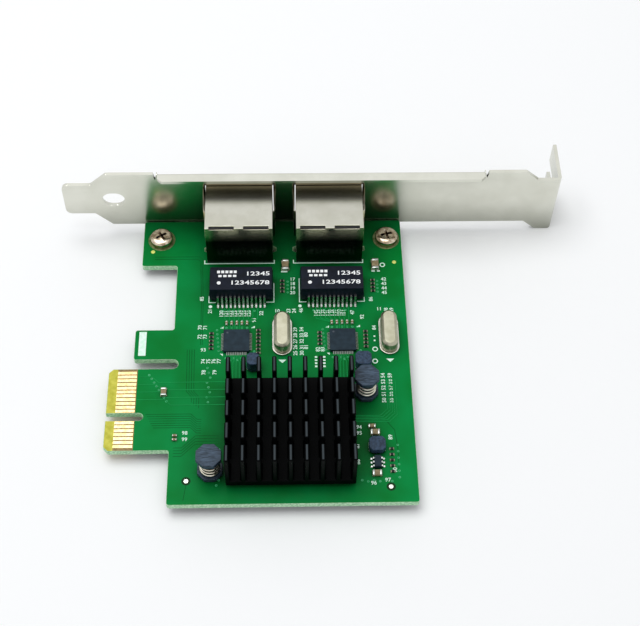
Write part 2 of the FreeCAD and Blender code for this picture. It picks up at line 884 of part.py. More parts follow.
def make_crystal(name, x):
    """Resistance-welded crystal can on a flanged base with two wire leads."""
    y = crystal_y
    can = stadium(x, y, crystal_width - 2 * crystal_rim, crystal_length - 2 * crystal_rim,
                  crystal_flange, crystal_height)
    top_edges = [edge for edge in can.Edges
                 if min(vertex.Z for vertex in edge.Vertexes) > crystal_height - crystal_edge]
    save(name + "_can", [can.makeChamfer(crystal_edge, top_edges)])
    base = stadium(x, y, crystal_width, crystal_length, 0, crystal_flange)
    leads = []
    for side in (-1, 1):
        lead_y = y + side * crystal_lead_spacing / 2
        leads.append(sided_rod(x, lead_y, crystal_lead_radius, pin_sides,
                               board_bottom - pin_tail, crystal_flange / 2))
    save(name + "_base", [base.fuse(leads)])


sink_low = bridge_height + pad_thickness


def make_heat_sink():
    """Extruded comb of fins, cross-cut into rows of upright blades."""
    base_top = sink_low + sink_base
    top = base_top + fin_height
    outline = [
        Vector(sink_left, sink_front, sink_low),
        Vector(sink_right, sink_front, sink_low),
    ]
    for i in reversed(range(fin_columns)):
        fin_left = sink_left + i * fin_pitch
        if i < fin_columns - 1:
            outline.append(Vector(fin_left + fin_thickness, sink_front, base_top))
        outline.append(Vector(fin_left + fin_thickness, sink_front, top))
        outline.append(Vector(fin_left, sink_front, top))
        if i > 0:
            outline.append(Vector(fin_left, sink_front, base_top))
    comb = prism(sharp(outline), Vector(0, sink_depth, 0))
    cuts = []
    for i in range(1, fin_rows):
        row_y = sink_front + i * (fin_length + fin_row_gap)
        cuts.append(box(sink_left - past, sink_right + past, row_y - fin_row_gap, row_y,
                        base_top, top + past))
    save("heat_sink", [comb.cut(cuts)])
    pad = block(sink_x, sink_y, bridge_size, bridge_size, bridge_height, sink_low)
    save("thermal_pad", [pad])


def make_drum_inductor(name, x, y):
    """Ferrite bobbin with a wire winding between its cheeks, on two leads."""
    cheek_top = drum_height - drum_flange
    neck = sided_rod(x, y, drum_core_radius, drum_sides, drum_flange, cheek_top)
    low_cheek = sided_rod(x, y, drum_radius, drum_sides, 0, drum_flange)
    high_cheek = sided_rod(x, y, drum_radius, drum_sides, cheek_top, drum_height)
    save(name + "_core", [low_cheek.fuse([neck, high_cheek])])
    sleeve = sided_rod(x, y, winding_radius, 2 * drum_sides, drum_flange, cheek_top)
    solids = [sleeve.cut(neck)]
    for side in (-1, 1):
        lead_x = x + side * drum_lead_spacing / 2
        solids.append(sided_rod(lead_x, y, drum_lead_radius, pin_sides,
                                board_bottom - pin_tail, 0))
    save(name + "_winding", solids)


def make_chokes():
    """Small surface-mount chokes, their corners cut, on plated end pads."""
    pads = []
    for name, (x, y, width, depth, height) in chokes.items():
        half_x = width / 2
        half_y = depth / 2
        cut = choke_corner
        outline = [
            Vector(x - half_x + cut, y - half_y, choke_standoff),
            Vector(x + half_x - cut, y - half_y, choke_standoff),
            Vector(x + half_x, y - half_y + cut, choke_standoff),
            Vector(x + half_x, y + half_y - cut, choke_standoff),
            Vector(x + half_x - cut, y + half_y, choke_standoff),
            Vector(x - half_x + cut, y + half_y, choke_standoff),
            Vector(x - half_x, y + half_y - cut, choke_standoff),
            Vector(x - half_x, y - half_y + cut, choke_standoff),
        ]
        save(name, [prism(sharp(outline), Vector(0, 0, height - choke_standoff))])
        for side in (-1, 1):
            pad_x = x + side * (half_x - choke_pad / 2)
            pads.append(block(pad_x, y, choke_pad, depth - 2 * cut, 0, choke_standoff))
    save("choke_pads", pads)


def make_regulator():
    """Small six-lead regulator, its leads along X."""
    x = regulator_x
    y = regulator_y
    body = moulded_block(x, y, regulator_width, regulator_length, regulator_standoff,
                         regulator_height, regulator_draft)
    save("regulator_body", [body])
    half = regulator_width / 2
    lead_z = (regulator_standoff + regulator_height) / 2 - regulator_draft
    foot_z = regulator_lead_thickness / 2
    leads = []
    for i in range(regulator_leads_a_side):
        along = (i - (regulator_leads_a_side - 1) / 2) * regulator_pitch
        for turn in (90, -90):
            points = [
                (y + half, lead_z),
                (y + half + regulator_shoulder, lead_z),
                (y + half + regulator_shoulder + regulator_lead_slope, foot_z),
                (y + half + regulator_reach, foot_z),
            ]
            lead = ribbon(x + along, points, regulator_lead_thickness, regulator_lead_width)
            lead.rotate(Vector(x, y, 0), Vector(0, 0, 1), turn)
            leads.append(lead)
    save("regulator_leads", leads)


def chip_part(x, y, size, along_x):
    """Ceramic body and its two soldered end caps."""
    length, width, height = size
    cap = length * end_cap_share
    reach_x = length if along_x else width
    reach_y = width if along_x else length
    whole = block(x, y, reach_x, reach_y, 0, height)
    core_x = length - 2 * cap if along_x else width + past
    core_y = width + past if along_x else length - 2 * cap
    core = block(x, y, core_x, core_y, -past, height + past)
    return whole.common(core), whole.cut(core).Solids


def column(x, y, offset, count, pitch):
    """Places of one column of resistors beside the part at (x, y)."""
    return [(x + offset[0], y + offset[1] - i * pitch) for i in range(count)]


def make_chip_parts():
    """Ceramic capacitors and resistors, in the columns beside the chips they serve."""
    capacitors = []
    for i, x in enumerate(ports):
        capacitors.append(chip_part(x + port_capacitor_offsets[i], jack_rear - port_capacitor_gap,
                                    port_capacitor, False))
    for y in (regulator_y - supply_front_gap, regulator_y + supply_rear_gap):
        capacitors.append(chip_part(regulator_x + supply_offset, y, supply_capacitor, True))
    capacitors.append(chip_part(regulator_x + filter_offset[0], regulator_y + filter_offset[1],
                                filter_capacitor, True))
    capacitors.append(chip_part(body_left + hook_capacitor_place[0],
                                tongue_rear + hook_capacitor_place[1], hook_capacitor, False))
    coupling = (coupling_length, coupling_width, coupling_height)
    for y in coupling_places:
        capacitors.append(chip_part(body_left + coupling_offset, y, coupling, True))
    for controller_x in controllers:
        for i in range(coupling_row_count):
            x = controller_x + (i - (coupling_row_count - 1) / 2) * coupling_row_pitch
            capacitors.append(chip_part(x, controller_y + coupling_row_gap, coupling, False))
    places = []
    for i, x in enumerate(controllers):
        places += column(x, controller_y, left_columns[i], left_counts[i], resistor_pitch)
        places += column(x, controller_y, right_columns[i], right_counts[i], resistor_pitch)
        places += column(ports[i], magnetics_y, port_columns[i], port_counts[i], resistor_pitch)
    places += column(regulator_x, regulator_y, strap_column, strap_count, strap_pitch)
    size = (resistor_length, resistor_width, resistor_height)
    resistors = [chip_part(x, y, size, True) for x, y in places]
    for name, parts in (("capacitor", capacitors), ("resistor", resistors)):
        save(name + "_bodies", [body for body, caps in parts])
        save(name + "_ends", [cap for body, caps in parts for cap in caps])


def solder_ring(x, y, pin_radius):
    """Solder cone round a pin under the board."""
    low = board_bottom - solder_height
    rings = [
        many_sided(x, y, pin_radius, pin_sides, board_bottom),
        many_sided(x, y, pin_radius + solder_reach, pin_sides, board_bottom),
        many_sided(x, y, pin_radius + solder_tip_wall, pin_sides, low),
        many_sided(x, y, pin_radius, pin_sides, low),
    ]
    return closed_solid(skin(rings + rings[:1]))


def make_solder_joints():
    rings = []
    for port_x in ports:
        for x, y in wire_places(port_x):
            rings.append(solder_ring(x, y, math.hypot(wire_width, wire_thickness) / 2))
        for side in (-1, 1):
            post_x = port_x + side * (jack_width - shield_sheet) / 2
            rings.append(solder_ring(post_x, behind(post_depth), post_width / 2 + shield_sheet / 2))
    for x in crystals:
        for side in (-1, 1):
            y = crystal_y + side * crystal_lead_spacing / 2
            rings.append(solder_ring(x, y, crystal_lead_radius))
    for x, y in drums:
        for side in (-1, 1):
            rings.append(solder_ring(x + side * drum_lead_spacing / 2, y, drum_lead_radius))
    save("solder_joints", rings)


os.makedirs("parts", exist_ok=True)
make_board()
make_contacts()
make_bracket()
make_screws()
for number, x in enumerate(ports, start=1):
    make_shield("jack_%d_shield" % number, x)
    make_housing("jack_%d_housing" % number, x)
    make_wires("jack_%d_wires" % number, x)
    make_lamps("jack_%d_lamps" % number, x)
    make_magnetics("magnetics_%d" % number, x)
for number, x in enumerate(controllers, start=1):
    make_leadless_chip("controller_%d" % number, x, controller_y, controller_size,
                       controller_height, controller_pads, controller_pad_pitch)
for number, x in enumerate(crystals, start=1):
    make_crystal("crystal_%d" % number, x)
make_leadless_chip("bridge_chip", sink_x, sink_y, bridge_size, bridge_height,
                   bridge_pads, bridge_pad_pitch)
make_heat_sink()
for number, (x, y) in enumerate(drums, start=1):
    make_drum_inductor("inductor_%d" % number, x, y)
make_chokes()
make_regulator()
make_chip_parts()
make_solder_joints()
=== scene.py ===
import math

import bmesh
import bpy
from mathutils import Matrix, Vector


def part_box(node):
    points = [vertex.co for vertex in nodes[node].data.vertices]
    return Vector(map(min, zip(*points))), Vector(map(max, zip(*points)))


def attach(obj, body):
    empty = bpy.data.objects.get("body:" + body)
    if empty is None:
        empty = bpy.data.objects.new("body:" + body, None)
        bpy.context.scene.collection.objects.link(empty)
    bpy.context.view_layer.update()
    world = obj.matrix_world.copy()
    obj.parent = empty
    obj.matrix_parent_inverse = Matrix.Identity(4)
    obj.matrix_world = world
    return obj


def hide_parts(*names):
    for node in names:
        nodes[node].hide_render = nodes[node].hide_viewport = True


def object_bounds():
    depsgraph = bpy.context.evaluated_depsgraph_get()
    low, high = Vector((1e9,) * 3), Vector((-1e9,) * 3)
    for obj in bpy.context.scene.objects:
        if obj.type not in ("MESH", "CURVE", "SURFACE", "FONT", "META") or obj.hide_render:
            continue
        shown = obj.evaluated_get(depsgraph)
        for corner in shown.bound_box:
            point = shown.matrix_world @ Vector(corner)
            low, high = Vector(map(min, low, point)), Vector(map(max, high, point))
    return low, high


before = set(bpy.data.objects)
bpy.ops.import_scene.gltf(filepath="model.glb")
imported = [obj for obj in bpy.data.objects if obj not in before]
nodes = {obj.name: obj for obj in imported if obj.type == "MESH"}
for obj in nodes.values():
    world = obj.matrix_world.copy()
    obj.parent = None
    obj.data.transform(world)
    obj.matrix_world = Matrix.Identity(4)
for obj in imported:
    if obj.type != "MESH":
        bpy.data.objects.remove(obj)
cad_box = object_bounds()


# ---- Circuit board -----------------------------------------------------------------------
# Glass-epoxy laminate routed to shape, under a green solder mask. The mask stops short of the
# contacts, where the bare yellow laminate shows, and the routed sides are pale, with the same pale
# laid on the broken top edge as a painted highlight.

mm = 0.001
scene = bpy.context.scene


def linear(code):
    """sRGB hex to linear red, green, blue, alpha."""
    channels = [int(code[i:i + 2], 16) / 255 for i in (1, 3, 5)]
    return tuple(c / 12.92 if c <= 0.04045 else ((c + 0.055) / 1.055) ** 2.4
                 for c in channels) + (1.0,)


def add(tree, kind, inputs=None, **settings):
    """Adds one node; inputs maps a socket to a value or to another node's socket."""
    item = tree.nodes.new(kind)
    for name, value in settings.items():
        setattr(item, name, value)
    for name, value in (inputs or {}).items():
        if isinstance(value, bpy.types.NodeSocket):
            tree.links.new(value, item.inputs[name])
        else:
            item.inputs[name].default_value = value
    return item


def finish_of(name, **surface):
    """A material with its even values set on the shader's own sockets."""
    material = bpy.data.materials.new(name)
    material.use_nodes = True
    shader = material.node_tree.nodes["Principled BSDF"]
    for socket, value in surface.items():
        shader.inputs[socket.replace("_", " ")].default_value = value
    return material, shader


def noise_of(tree, size, detail, stretch):
    """Noise with patches of this size in millimetres, on the object's own place."""
    place = add(tree, "ShaderNodeTexCoord").outputs["Object"]
    drawn = add(tree, "ShaderNodeMapping", {"Vector": place, "Scale": stretch})
    return add(tree, "ShaderNodeTexNoise", {"Vector": drawn.outputs["Vector"],
                                            "Scale": 1 / (size * mm), "Detail": detail})


def tones(tree, dark, light, size, detail=4.0, spread=(0.35, 0.65), stretch=(1, 1, 1)):
    """Colour that wanders between two tones."""
    noise = noise_of(tree, size, detail, stretch)
    ramp = add(tree, "ShaderNodeValToRGB", {"Fac": noise.outputs["Fac"]})
    for stop, position, code in zip(ramp.color_ramp.elements, spread, (dark, light)):
        stop.position = position
        stop.color = linear(code)
    return ramp.outputs["Color"]


def shaded(tree, colour, deep, reach):
    """Paints shade: takes a colour down to a deep one in crevices narrower than reach millimetres.
    """
    open_sky = add(tree, "ShaderNodeAmbientOcclusion", {"Distance": reach * mm}, samples=8)
    mix = add(tree, "ShaderNodeMix", {0: open_sky.outputs["AO"], 6: linear(deep), 7: colour},
              data_type="RGBA")
    return mix.outputs[2]


def coat(finish, dark, light, size, grain=0.2, depth=0.004, crevice_shade=None, **pattern):
    """Gives a material its wandering colour and a fine relief, sizes in millimetres.

    The relief of a plated, moulded or printed skin is under 0.05 mm across. That is too
    fine to show, so grain draws it several times as coarse.
    """
    material, shader = finish
    tree = material.node_tree
    colour = tones(tree, dark, light, size, **pattern)
    # painted shade in crevices, when a crevice shade is given
    if crevice_shade:
        colour = shaded(tree, colour, *crevice_shade)
    tree.links.new(colour, shader.inputs["Base Color"])
    noise = noise_of(tree, grain, 3.0, pattern.get("stretch", (1, 1, 1)))
    relief = add(tree, "ShaderNodeBump", {"Height": noise.outputs["Fac"], "Strength": 1.0,
                                          "Distance": depth * mm})
    tree.links.new(relief.outputs["Normal"], shader.inputs["Normal"])
    return material


def dress(material, *names):
    """Gives whole CAD nodes their finish, with their shapes left as they are."""
    for name in names:
        for slot in nodes[name].material_slots:
            slot.material = material


def corners(node):
    """Lowest and highest corner of a CAD node in millimetres."""
    low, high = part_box(node)
    return low / mm, high / mm


def middle(node):
    """Centre of a CAD node's box in millimetres."""
    low, high = corners(node)
    return (low + high) / 2


def piece(name, mesh, material, slot, *stands_for):
    """Puts a finished mesh on the card, in place of the CAD nodes named."""
    mesh.materials.clear()
    mesh.materials.append(material)
    item = bpy.data.objects.new(name, mesh)
    scene.collection.objects.link(item)
    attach(item, "root")
    if stands_for:
        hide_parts(*stands_for)
    return item


def meshed(name, build):
    """Turns a mesh under construction into a kept one."""
    mesh = bpy.data.meshes.new(name)
    build.to_mesh(mesh)
    build.free()
    return mesh


def evaluated(carrier):
    """The plain mesh that an object's modifiers make; they are left behind with it."""
    bpy.context.view_layer.update()
    view = bpy.context.evaluated_depsgraph_get()
    mesh = bpy.data.meshes.new_from_object(carrier.evaluated_get(view))
    carrier.modifiers.clear()
    return mesh


def softened(name, source, width, material, slot, segments=2, clamp=False):
    """Stands a copy of a CAD node in its place, edges broken to this width in millimetres."""
    weld = 0.002 * mm
    flat_within = math.radians(1)
    broken_past = math.radians(30)
    crisp_past = math.radians(50)
    build = bmesh.new()
    build.from_mesh(nodes[source].data)
    bmesh.ops.remove_doubles(build, verts=build.verts, dist=weld)
    bmesh.ops.dissolve_limit(build, angle_limit=flat_within, verts=build.verts,
                             edges=build.edges)
    for face in build.faces:
        face.smooth = True
    carrier = bpy.data.objects.new(name, meshed(name, build))
    scene.collection.objects.link(carrier)
    bevel = carrier.modifiers.new("edges", "BEVEL")
    bevel.width = width * mm
    bevel.segments = segments
    bevel.limit_method = "ANGLE"
    bevel.angle_limit = broken_past
    bevel.use_clamp_overlap = clamp
    carrier.data = evaluated(carrier)
    carrier.data.set_sharp_from_angle(angle=crisp_past)
    flatten = carrier.modifiers.new("flat_faces", "WEIGHTED_NORMAL")
    flatten.keep_sharp = True
    mesh = evaluated(carrier)
    mesh.name = name
    bpy.data.objects.remove(carrier)
    return piece(name, mesh, material, slot, source)


board_low, board_high = corners("circuit_board")
finger_low, finger_high = corners("edge_contacts_top")
mask_start = finger_high.x + 0.15
tongue_rear = finger_high.y + 2.0
upright_below = 0.9

# Solder mask is a clear green epoxy flooded over the laminate: a deep green with a soft shine, and
# painted shade that takes it near black beside the taller parts. The weave of the glass cloth, 0.4
# mm in the real board, is drawn at 0.6 mm.
board_skin, board_shader = finish_of("green_solder_mask_on_glass_epoxy",
                                     Roughness=0.36, Specular_IOR_Level=0.05)
tree = board_skin.node_tree
mask_colour = tones(tree, "#00772e", "#018a42", 12.0, detail=2.0)
margin_colour = tones(tree, "#bbb842", "#d8d45c", 1.6)
between_colour = tones(tree, "#887450", "#a68e63", 0.8)
side_colour = tones(tree, "#96c89c", "#d4f5d0", 0.5)
place = add(tree, "ShaderNodeSeparateXYZ",
            {"Vector": add(tree, "ShaderNodeTexCoord").outputs["Object"]})
among_fingers = add(tree, "ShaderNodeMath", {0: place.outputs["X"], 1: finger_low.x * mm},
                    operation="GREATER_THAN")
bare_colour = add(tree, "ShaderNodeMix", {0: among_fingers.outputs[0], 6: margin_colour,
                                          7: between_colour}, data_type="RGBA").outputs[2]
past_mask = add(tree, "ShaderNodeMath", {0: place.outputs["X"], 1: mask_start * mm},
                operation="LESS_THAN")
on_tongue = add(tree, "ShaderNodeMath", {0: place.outputs["Y"], 1: tongue_rear * mm},
                operation="LESS_THAN")
bare = add(tree, "ShaderNodeMath", {0: past_mask.outputs[0], 1: on_tongue.outputs[0]},
           operation="MULTIPLY")
# painted shade: the mask goes near black in crevices within 9 mm of the taller parts
mask_colour = shaded(tree, mask_colour, "#001206", 9.0)
faces = add(tree, "ShaderNodeMix", {0: bare.outputs[0], 6: mask_colour, 7: bare_colour},
            data_type="RGBA")
# the routed sides are pale laminate; the broken top edge is steep enough to take that pale too, a
# painted highlight along the rim
facing = add(tree, "ShaderNodeSeparateXYZ",
             {"Vector": add(tree, "ShaderNodeNewGeometry").outputs["True Normal"]})
level_face = add(tree, "ShaderNodeMath", {0: facing.outputs["Z"]}, operation="ABSOLUTE")
pale_side_and_rim_highlight = add(tree, "ShaderNodeMath", {0: level_face.outputs[0], 1: upright_below},
                  operation="LESS_THAN")
skin = add(tree, "ShaderNodeMix", {0: pale_side_and_rim_highlight.outputs[0], 6: faces.outputs[2],
                                   7: side_colour}, data_type="RGBA")
tree.links.new(skin.outputs[2], board_shader.inputs["Base Color"])
weave = noise_of(tree, 0.6, 2.0, (1, 1, 1))
relief = add(tree, "ShaderNodeBump", {"Height": weave.outputs["Fac"], "Strength": 1.0,
                                      "Distance": 0.006 * mm})
tree.links.new(relief.outputs["Normal"], board_shader.inputs["Normal"])
softened("circuit_board_routed", "circuit_board", 0.07, board_skin, "board_laminate",
         segments=1)


# ---- Copper tracks -----------------------------------------------------------------------
# Copper etched under the mask: raised lines in a lighter green, and dark gaps where the
# flooded copper is cut round a net. Real ones are mostly under 0.15 mm wide and closer
# together; these are drawn wider and fewer, so that they show.

def line(points, width):
    """Outline of a line of even width with mitred corners."""
    spine = [Vector(point) for point in points]
    left = []
    right = []
    for i, point in enumerate(spine):
        before = (point - spine[i - 1]).normalized() if i else None
        after = (spine[i + 1] - point).normalized() if i + 1 < len(spine) else None
        along = ((before or after) + (after or before)).normalized()
        reach = width / 2 / max(0.5, along.dot(before or after))
        across = Vector((-along.y, along.x)) * reach
        left.append(point + across)
        right.append(point - across)
    return left + right[::-1]


def plates(name, outlines, low, high, material, slot):
    """Thin closed plates between two heights, all in millimetres."""
    build = bmesh.new()
    for outline in outlines:
        lower = [build.verts.new((x * mm, y * mm, low * mm)) for x, y in outline]
        upper = [build.verts.new((x * mm, y * mm, high * mm)) for x, y in outline]
        build.faces.new(lower)
        build.faces.new(upper)
        for i in range(len(outline)):
            build.faces.new((lower[i - 1], lower[i], upper[i], upper[i - 1]))
    bmesh.ops.recalc_face_normals(build, faces=build.faces)
    return piece(name, meshed(name, build), material, slot)


magnetics = [middle("magnetics_%d_body" % number) for number in (1, 2)]
controllers = [middle("controller_%d_body" % number) for number in (1, 2)]
sink_low, sink_high = corners("heat_sink")
lead_pitch = 1.1
pad_pitch = 0.4
contact_pitch = 1.0
signal_width = 0.18
lane_width = 0.2
copper_height = 0.035
gap_height = 0.008
long_cut = 0.14
short_cut = 0.12

# Mask over copper has a mirror behind it: a lighter, livelier green than the board's.
raised_mask = coat(finish_of("solder_mask_over_copper", Roughness=0.34,
                             Specular_IOR_Level=0.08), "#038840", "#08984b", 6.0)
# Mask over bare laminate lets the light through, so a gap reads as a dark groove.
gap_mask = coat(finish_of("solder_mask_over_bare_laminate", Roughness=0.4,
                          Specular_IOR_Level=0.05), "#005120", "#005f29", 6.0)
tracks = []
for module, controller in zip(magnetics, controllers):
    # pairs from the magnetics down to the controller
    for k in range(8):
        top_x = module.x + lead_pitch * (k - 3.5)
        low_x = controller.x + pad_pitch * (k - 3.5)
        bend = controller.y + 5.9
        tracks.append(line([(top_x, module.y - 5.4), (top_x, bend + 0.6),
                            (low_x, bend - 0.9), (low_x, controller.y + 3.6)], signal_width))
    # a bus from the controller to the bridge chip under the heat sink
    for k in range(7):
        x = controller.x + pad_pitch * (k - 3)
        end_x = x + 0.35 * (k - 3)
        tracks.append(line([(x, controller.y - 3.6), (x, controller.y - 4.6),
                            (end_x, controller.y - 5.8), (end_x, sink_high.y - 2.0)],
                           signal_width))
# lanes from the contacts to the heat sink, fanned out past the board's step
for k in range(1, 9, 2):
    y = finger_high.y - 0.4 - contact_pitch * k
    bend = 9.4 + 0.5 * k
    tracks.append(line([(finger_high.x + 0.3, y), (bend, y), (bend + 1.5, y - 1.5),
                        (sink_low.x + 1.0, y - 1.5)], lane_width))
# a bus that turns in under the heat sink's far corner
for k in range(5):
    x = 63.2 + 0.5 * k
    fall = 0.4 * k
    tracks.append(line([(x, sink_high.y + 1.0), (x, 1.5 - fall), (x - 1.8, -0.3 - fall),
                        (sink_high.x - 1.0, -0.3 - fall)], signal_width))
plates("copper_tracks", tracks, 0.0, copper_height, raised_mask, "board_laminate")

gaps = [
    line([(8.9, 44.6), (19.6, 44.6), (20.4, 43.8), (20.9, 30.6), (21.0, 19.0)], long_cut),
    line([(8.9, 43.9), (19.3, 43.9), (20.0, 43.2), (20.5, 30.6), (20.6, 19.0)], long_cut),
    line([(54.9, -4.0), (55.9, -1.9), (59.5, -0.9), (62.6, -1.6), (64.4, -4.1), (64.9, -9.0),
          (64.8, -14.1)], long_cut),
    line([(18.0, -20.9), (18.5, -17.3)], short_cut),
]
for k in range(4):
    x = 17.6 + 0.55 * k
    gaps.append(line([(x, 17.8), (x + 0.2, 6.5), (x + 1.4, 5.0), (x + 1.4, 3.6 - 0.5 * k)],
                     short_cut))
for k in range(7):
    y = 0.6 - 0.58 * k
    gaps.append(line([(8.9 + 0.3 * k, y), (19.0, y), (20.4, y - 1.4), (21.4, y - 1.4)],
                     short_cut))
for k in range(4):
    y = -4.6 - 0.7 * k
    gaps.append(line([(15.4, y - 3.4), (17.2, y - 3.4), (20.2, y - 0.4), (25.4, y - 0.4)],
                     short_cut))
plates("copper_gaps", gaps, 0.0, gap_height, gap_mask, "board_laminate")


# ---- Vias and aiming marks ---------------------------------------------------------------
# Drilled and copper-plated holes through the board, their collars raised under the mask
# and their bores dark, and the bare marks by which the assembly machine finds the board.

stamp = bpy.data.node_groups.new("stamped_copies", "GeometryNodeTree")
sockets = {}
for name, kind, way in (("Places", "Geometry", "INPUT"), ("Shape", "Object", "INPUT"),
                        ("Finish", "Material", "INPUT"), ("Copies", "Geometry", "OUTPUT")):
    sockets[name] = stamp.interface.new_socket(name=name, in_out=way,
                                               socket_type="NodeSocket" + kind).identifier
given = add(stamp, "NodeGroupInput").outputs
turn = add(stamp, "GeometryNodeInputNamedAttribute", {"Name": "turn"}, data_type="FLOAT")
heading = add(stamp, "ShaderNodeCombineXYZ", {"Z": turn.outputs["Attribute"]})
shape = add(stamp, "GeometryNodeObjectInfo", {"Object": given["Shape"]},
            transform_space="ORIGINAL")
placed = add(stamp, "GeometryNodeInstanceOnPoints",
             {"Points": given["Places"], "Instance": shape.outputs["Geometry"],
              "Rotation": heading.outputs["Vector"]})
solid = add(stamp, "GeometryNodeRealizeInstances", {"Geometry": placed.outputs["Instances"]})
finished = add(stamp, "GeometryNodeSetMaterial",
               {"Geometry": solid.outputs["Geometry"], "Material": given["Finish"]})
add(stamp, "NodeGroupOutput", {"Copies": finished.outputs["Geometry"]})


def grown(carrier, group, values):
    """Runs a node tree on an object and returns the plain mesh that it makes."""
    modifier = carrier.modifiers.new("grow", "NODES")
    modifier.node_group = group
    for identifier, value in values.items():
        modifier[identifier] = value
    mesh = evaluated(carrier)
    bpy.data.objects.remove(carrier)
    return mesh


def copies(name, places, shape_mesh, material, slot, *stands_for):
    """One shape stamped at every (x, y, z, turn), in millimetres and degrees."""
    points = bpy.data.meshes.new(name + "_places")
    points.from_pydata([(x * mm, y * mm, z * mm) for x, y, z, turn in places], [], [])
    turns = points.attributes.new("turn", "FLOAT", "POINT")
    for i, spot in enumerate(places):
        turns.data[i].value = math.radians(spot[3])
    carrier = bpy.data.objects.new(name + "_places", points)
    scene.collection.objects.link(carrier)
    pattern = bpy.data.objects.new(name + "_shape", shape_mesh)
    scene.collection.objects.link(pattern)
    mesh = grown(carrier, stamp, {sockets["Shape"]: pattern, sockets["Finish"]: material})
    bpy.data.objects.remove(pattern)
    return piece(name, mesh, material, slot, *stands_for)


def turned(name, profile, sides):
    """A closed ring or button spun from (radius, height) points in millimetres."""
    build = bmesh.new()
    rings = []
    for radius, height in profile:
        if radius == 0:
            rings.append([build.verts.new((0, 0, height * mm))] * sides)
            continue
        ring = []
        for i in range(sides):
            angle = 2 * math.pi * i / sides
            ring.append(build.verts.new((radius * mm * math.cos(angle),
                                         radius * mm * math.sin(angle), height * mm)))
        rings.append(ring)
    for lower, upper in zip(rings, rings[1:]):
        for i in range(sides):
            edge = [lower[i - 1], lower[i], upper[i], upper[i - 1]]
            build.faces.new(list(dict.fromkeys(edge)))
    bmesh.ops.recalc_face_normals(build, faces=build.faces)
    return meshed(name, build)


regulator = middle("regulator_body")
vias = []


def via_row(x, y, step_x, step_y, count, sway_x=0.0, sway_y=0.0, cycle=2):
    """Vias at even steps from a first one, swaying aside and back every few."""
    for k in range(count):
        vias.append((x + step_x * k + sway_x * (k % cycle),
                     y + step_y * k + sway_y * (k % cycle)))


for module, controller in zip(magnetics, controllers):
    via_row(controller.x - 4.6, controller.y + 3.4, 0.1, -1.15, 6)
    via_row(controller.x + 4.1, controller.y - 2.6, 0.0, -0.75, 6)
    via_row(controller.x - 3.6, controller.y + 4.0, 1.2, 0.0, 7)
    via_row(controller.x - 2.4, controller.y - 4.4, 0.9, 0.0, 5, sway_y=-0.5)
    via_row(module.x - 4.4, module.y - 6.2, 1.25, 0.0, 7)
    via_row(module.x + 11.0, module.y + 2.2, 0.0, -1.05, 4)
via_row(9.2, finger_high.y - 0.9, 0.6, -contact_pitch, 8)
via_row(22.4, sink_high.y + 4.6, 0.0, -1.3, 8, sway_x=0.35, cycle=3)
via_row(sink_low.x - 1.6, sink_low.y + 9.5, 0.0, -1.25, 8, sway_x=-0.5)
via_row(regulator.x - 3.6, regulator.y - 4.2, 1.3, 0.0, 6, sway_y=-0.3)
via_row(regulator.x + 4.6, regulator.y + 4.4, 0.0, -1.6, 6)

via_radius = 0.28
bore_radius = 0.13
plug_height = 0.012
# Mask stretched thin over a copper collar: a pale green ring with a small glint.
via_green = coat(finish_of("solder_mask_on_via_collar", Roughness=0.28,
                           Specular_IOR_Level=0.2), "#28ac67", "#53c98a", 2.0)
# Mask that has run down into the hole: a dull, dark green dot.
bore_dark = coat(finish_of("mask_filled_via_bore", Roughness=0.6), "#05361e", "#094727", 1.0)
collar = turned("via_collar", [(bore_radius, 0.0), (via_radius, 0.0),
                               (via_radius - 0.05, copper_height), (bore_radius + 0.02, 0.03),
                               (bore_radius, 0.0)], 12)
plug = turned("via_plug", [(0, 0.0), (bore_radius, 0.0), (bore_radius, plug_height),
                           (0, plug_height)], 10)
top = [(x, y, 0.0, 0) for x, y in vias]
collars_under = [(x, y, board_low.z - copper_height, 0) for x, y in vias]
plugs_under = [(x, y, board_low.z - plug_height, 0) for x, y in vias]
copies("via_collars", top + collars_under, collar, via_green, "board_laminate")
copies("via_bores", top + plugs_under, plug, bore_dark, "board_laminate")

# two tinned dots in round windows of dark laminate, and two small gilded ones by the bracket
targets = [(18.5, -16.2), (62.9, -18.1)]
gilded = [(8.33, 46.2), (board_high.x - 2.1, 42.5)]
window_radius = 1.0
window_height = 0.006
dot_radius = 0.5
dot_seat = 0.004
window = turned("target_window", [(0, 0.0), (window_radius, 0.0),
                                  (window_radius, window_height), (0, window_height)], 24)
dot = turned("target_dot", [(0, 0.0), (dot_radius, 0.0), (dot_radius - 0.03, 0.04),
                            (0, 0.05)], 20)
# Copper dipped in molten tin and blown level: a bright, faintly domed white dot.
tin = coat(finish_of("hot_tinned_copper", Metallic=1.0, Roughness=0.25),
           "#d5dbc8", "#f0f2e6", 0.8, grain=0.3, depth=0.01)
# A flash of gold on a scrubbed pad: a pale, greenish yellow dot with a soft shine.
gilt = coat(finish_of("gilded_copper_dot", Metallic=1.0, Roughness=0.4),
            "#b9c45e", "#d3da7e", 0.8, grain=0.3, depth=0.01)
# Laminate with neither copper under it nor mask over it: very dark green and dull.
bare_laminate = coat(finish_of("bare_glass_epoxy", Roughness=0.5, Specular_IOR_Level=0.1),
                     "#0a3015", "#103c1d", 0.8)
copies("target_windows", [(x, y, 0.0, 0) for x, y in targets], window, bare_laminate,
       "board_laminate")
copies("target_dots", [(x, y, dot_seat, 0) for x, y in targets], dot, tin, "solder")
copies("gilded_dots", [(x, y, 0.0, 0) for x, y in gilded], dot, gilt, "solder")


# ---- Printed marks -----------------------------------------------------------------------
# Epoxy ink screened on the mask: part outlines, corner ticks, pin-one dots and plain
# position numbers, in a mint white that stands a hair above the board.

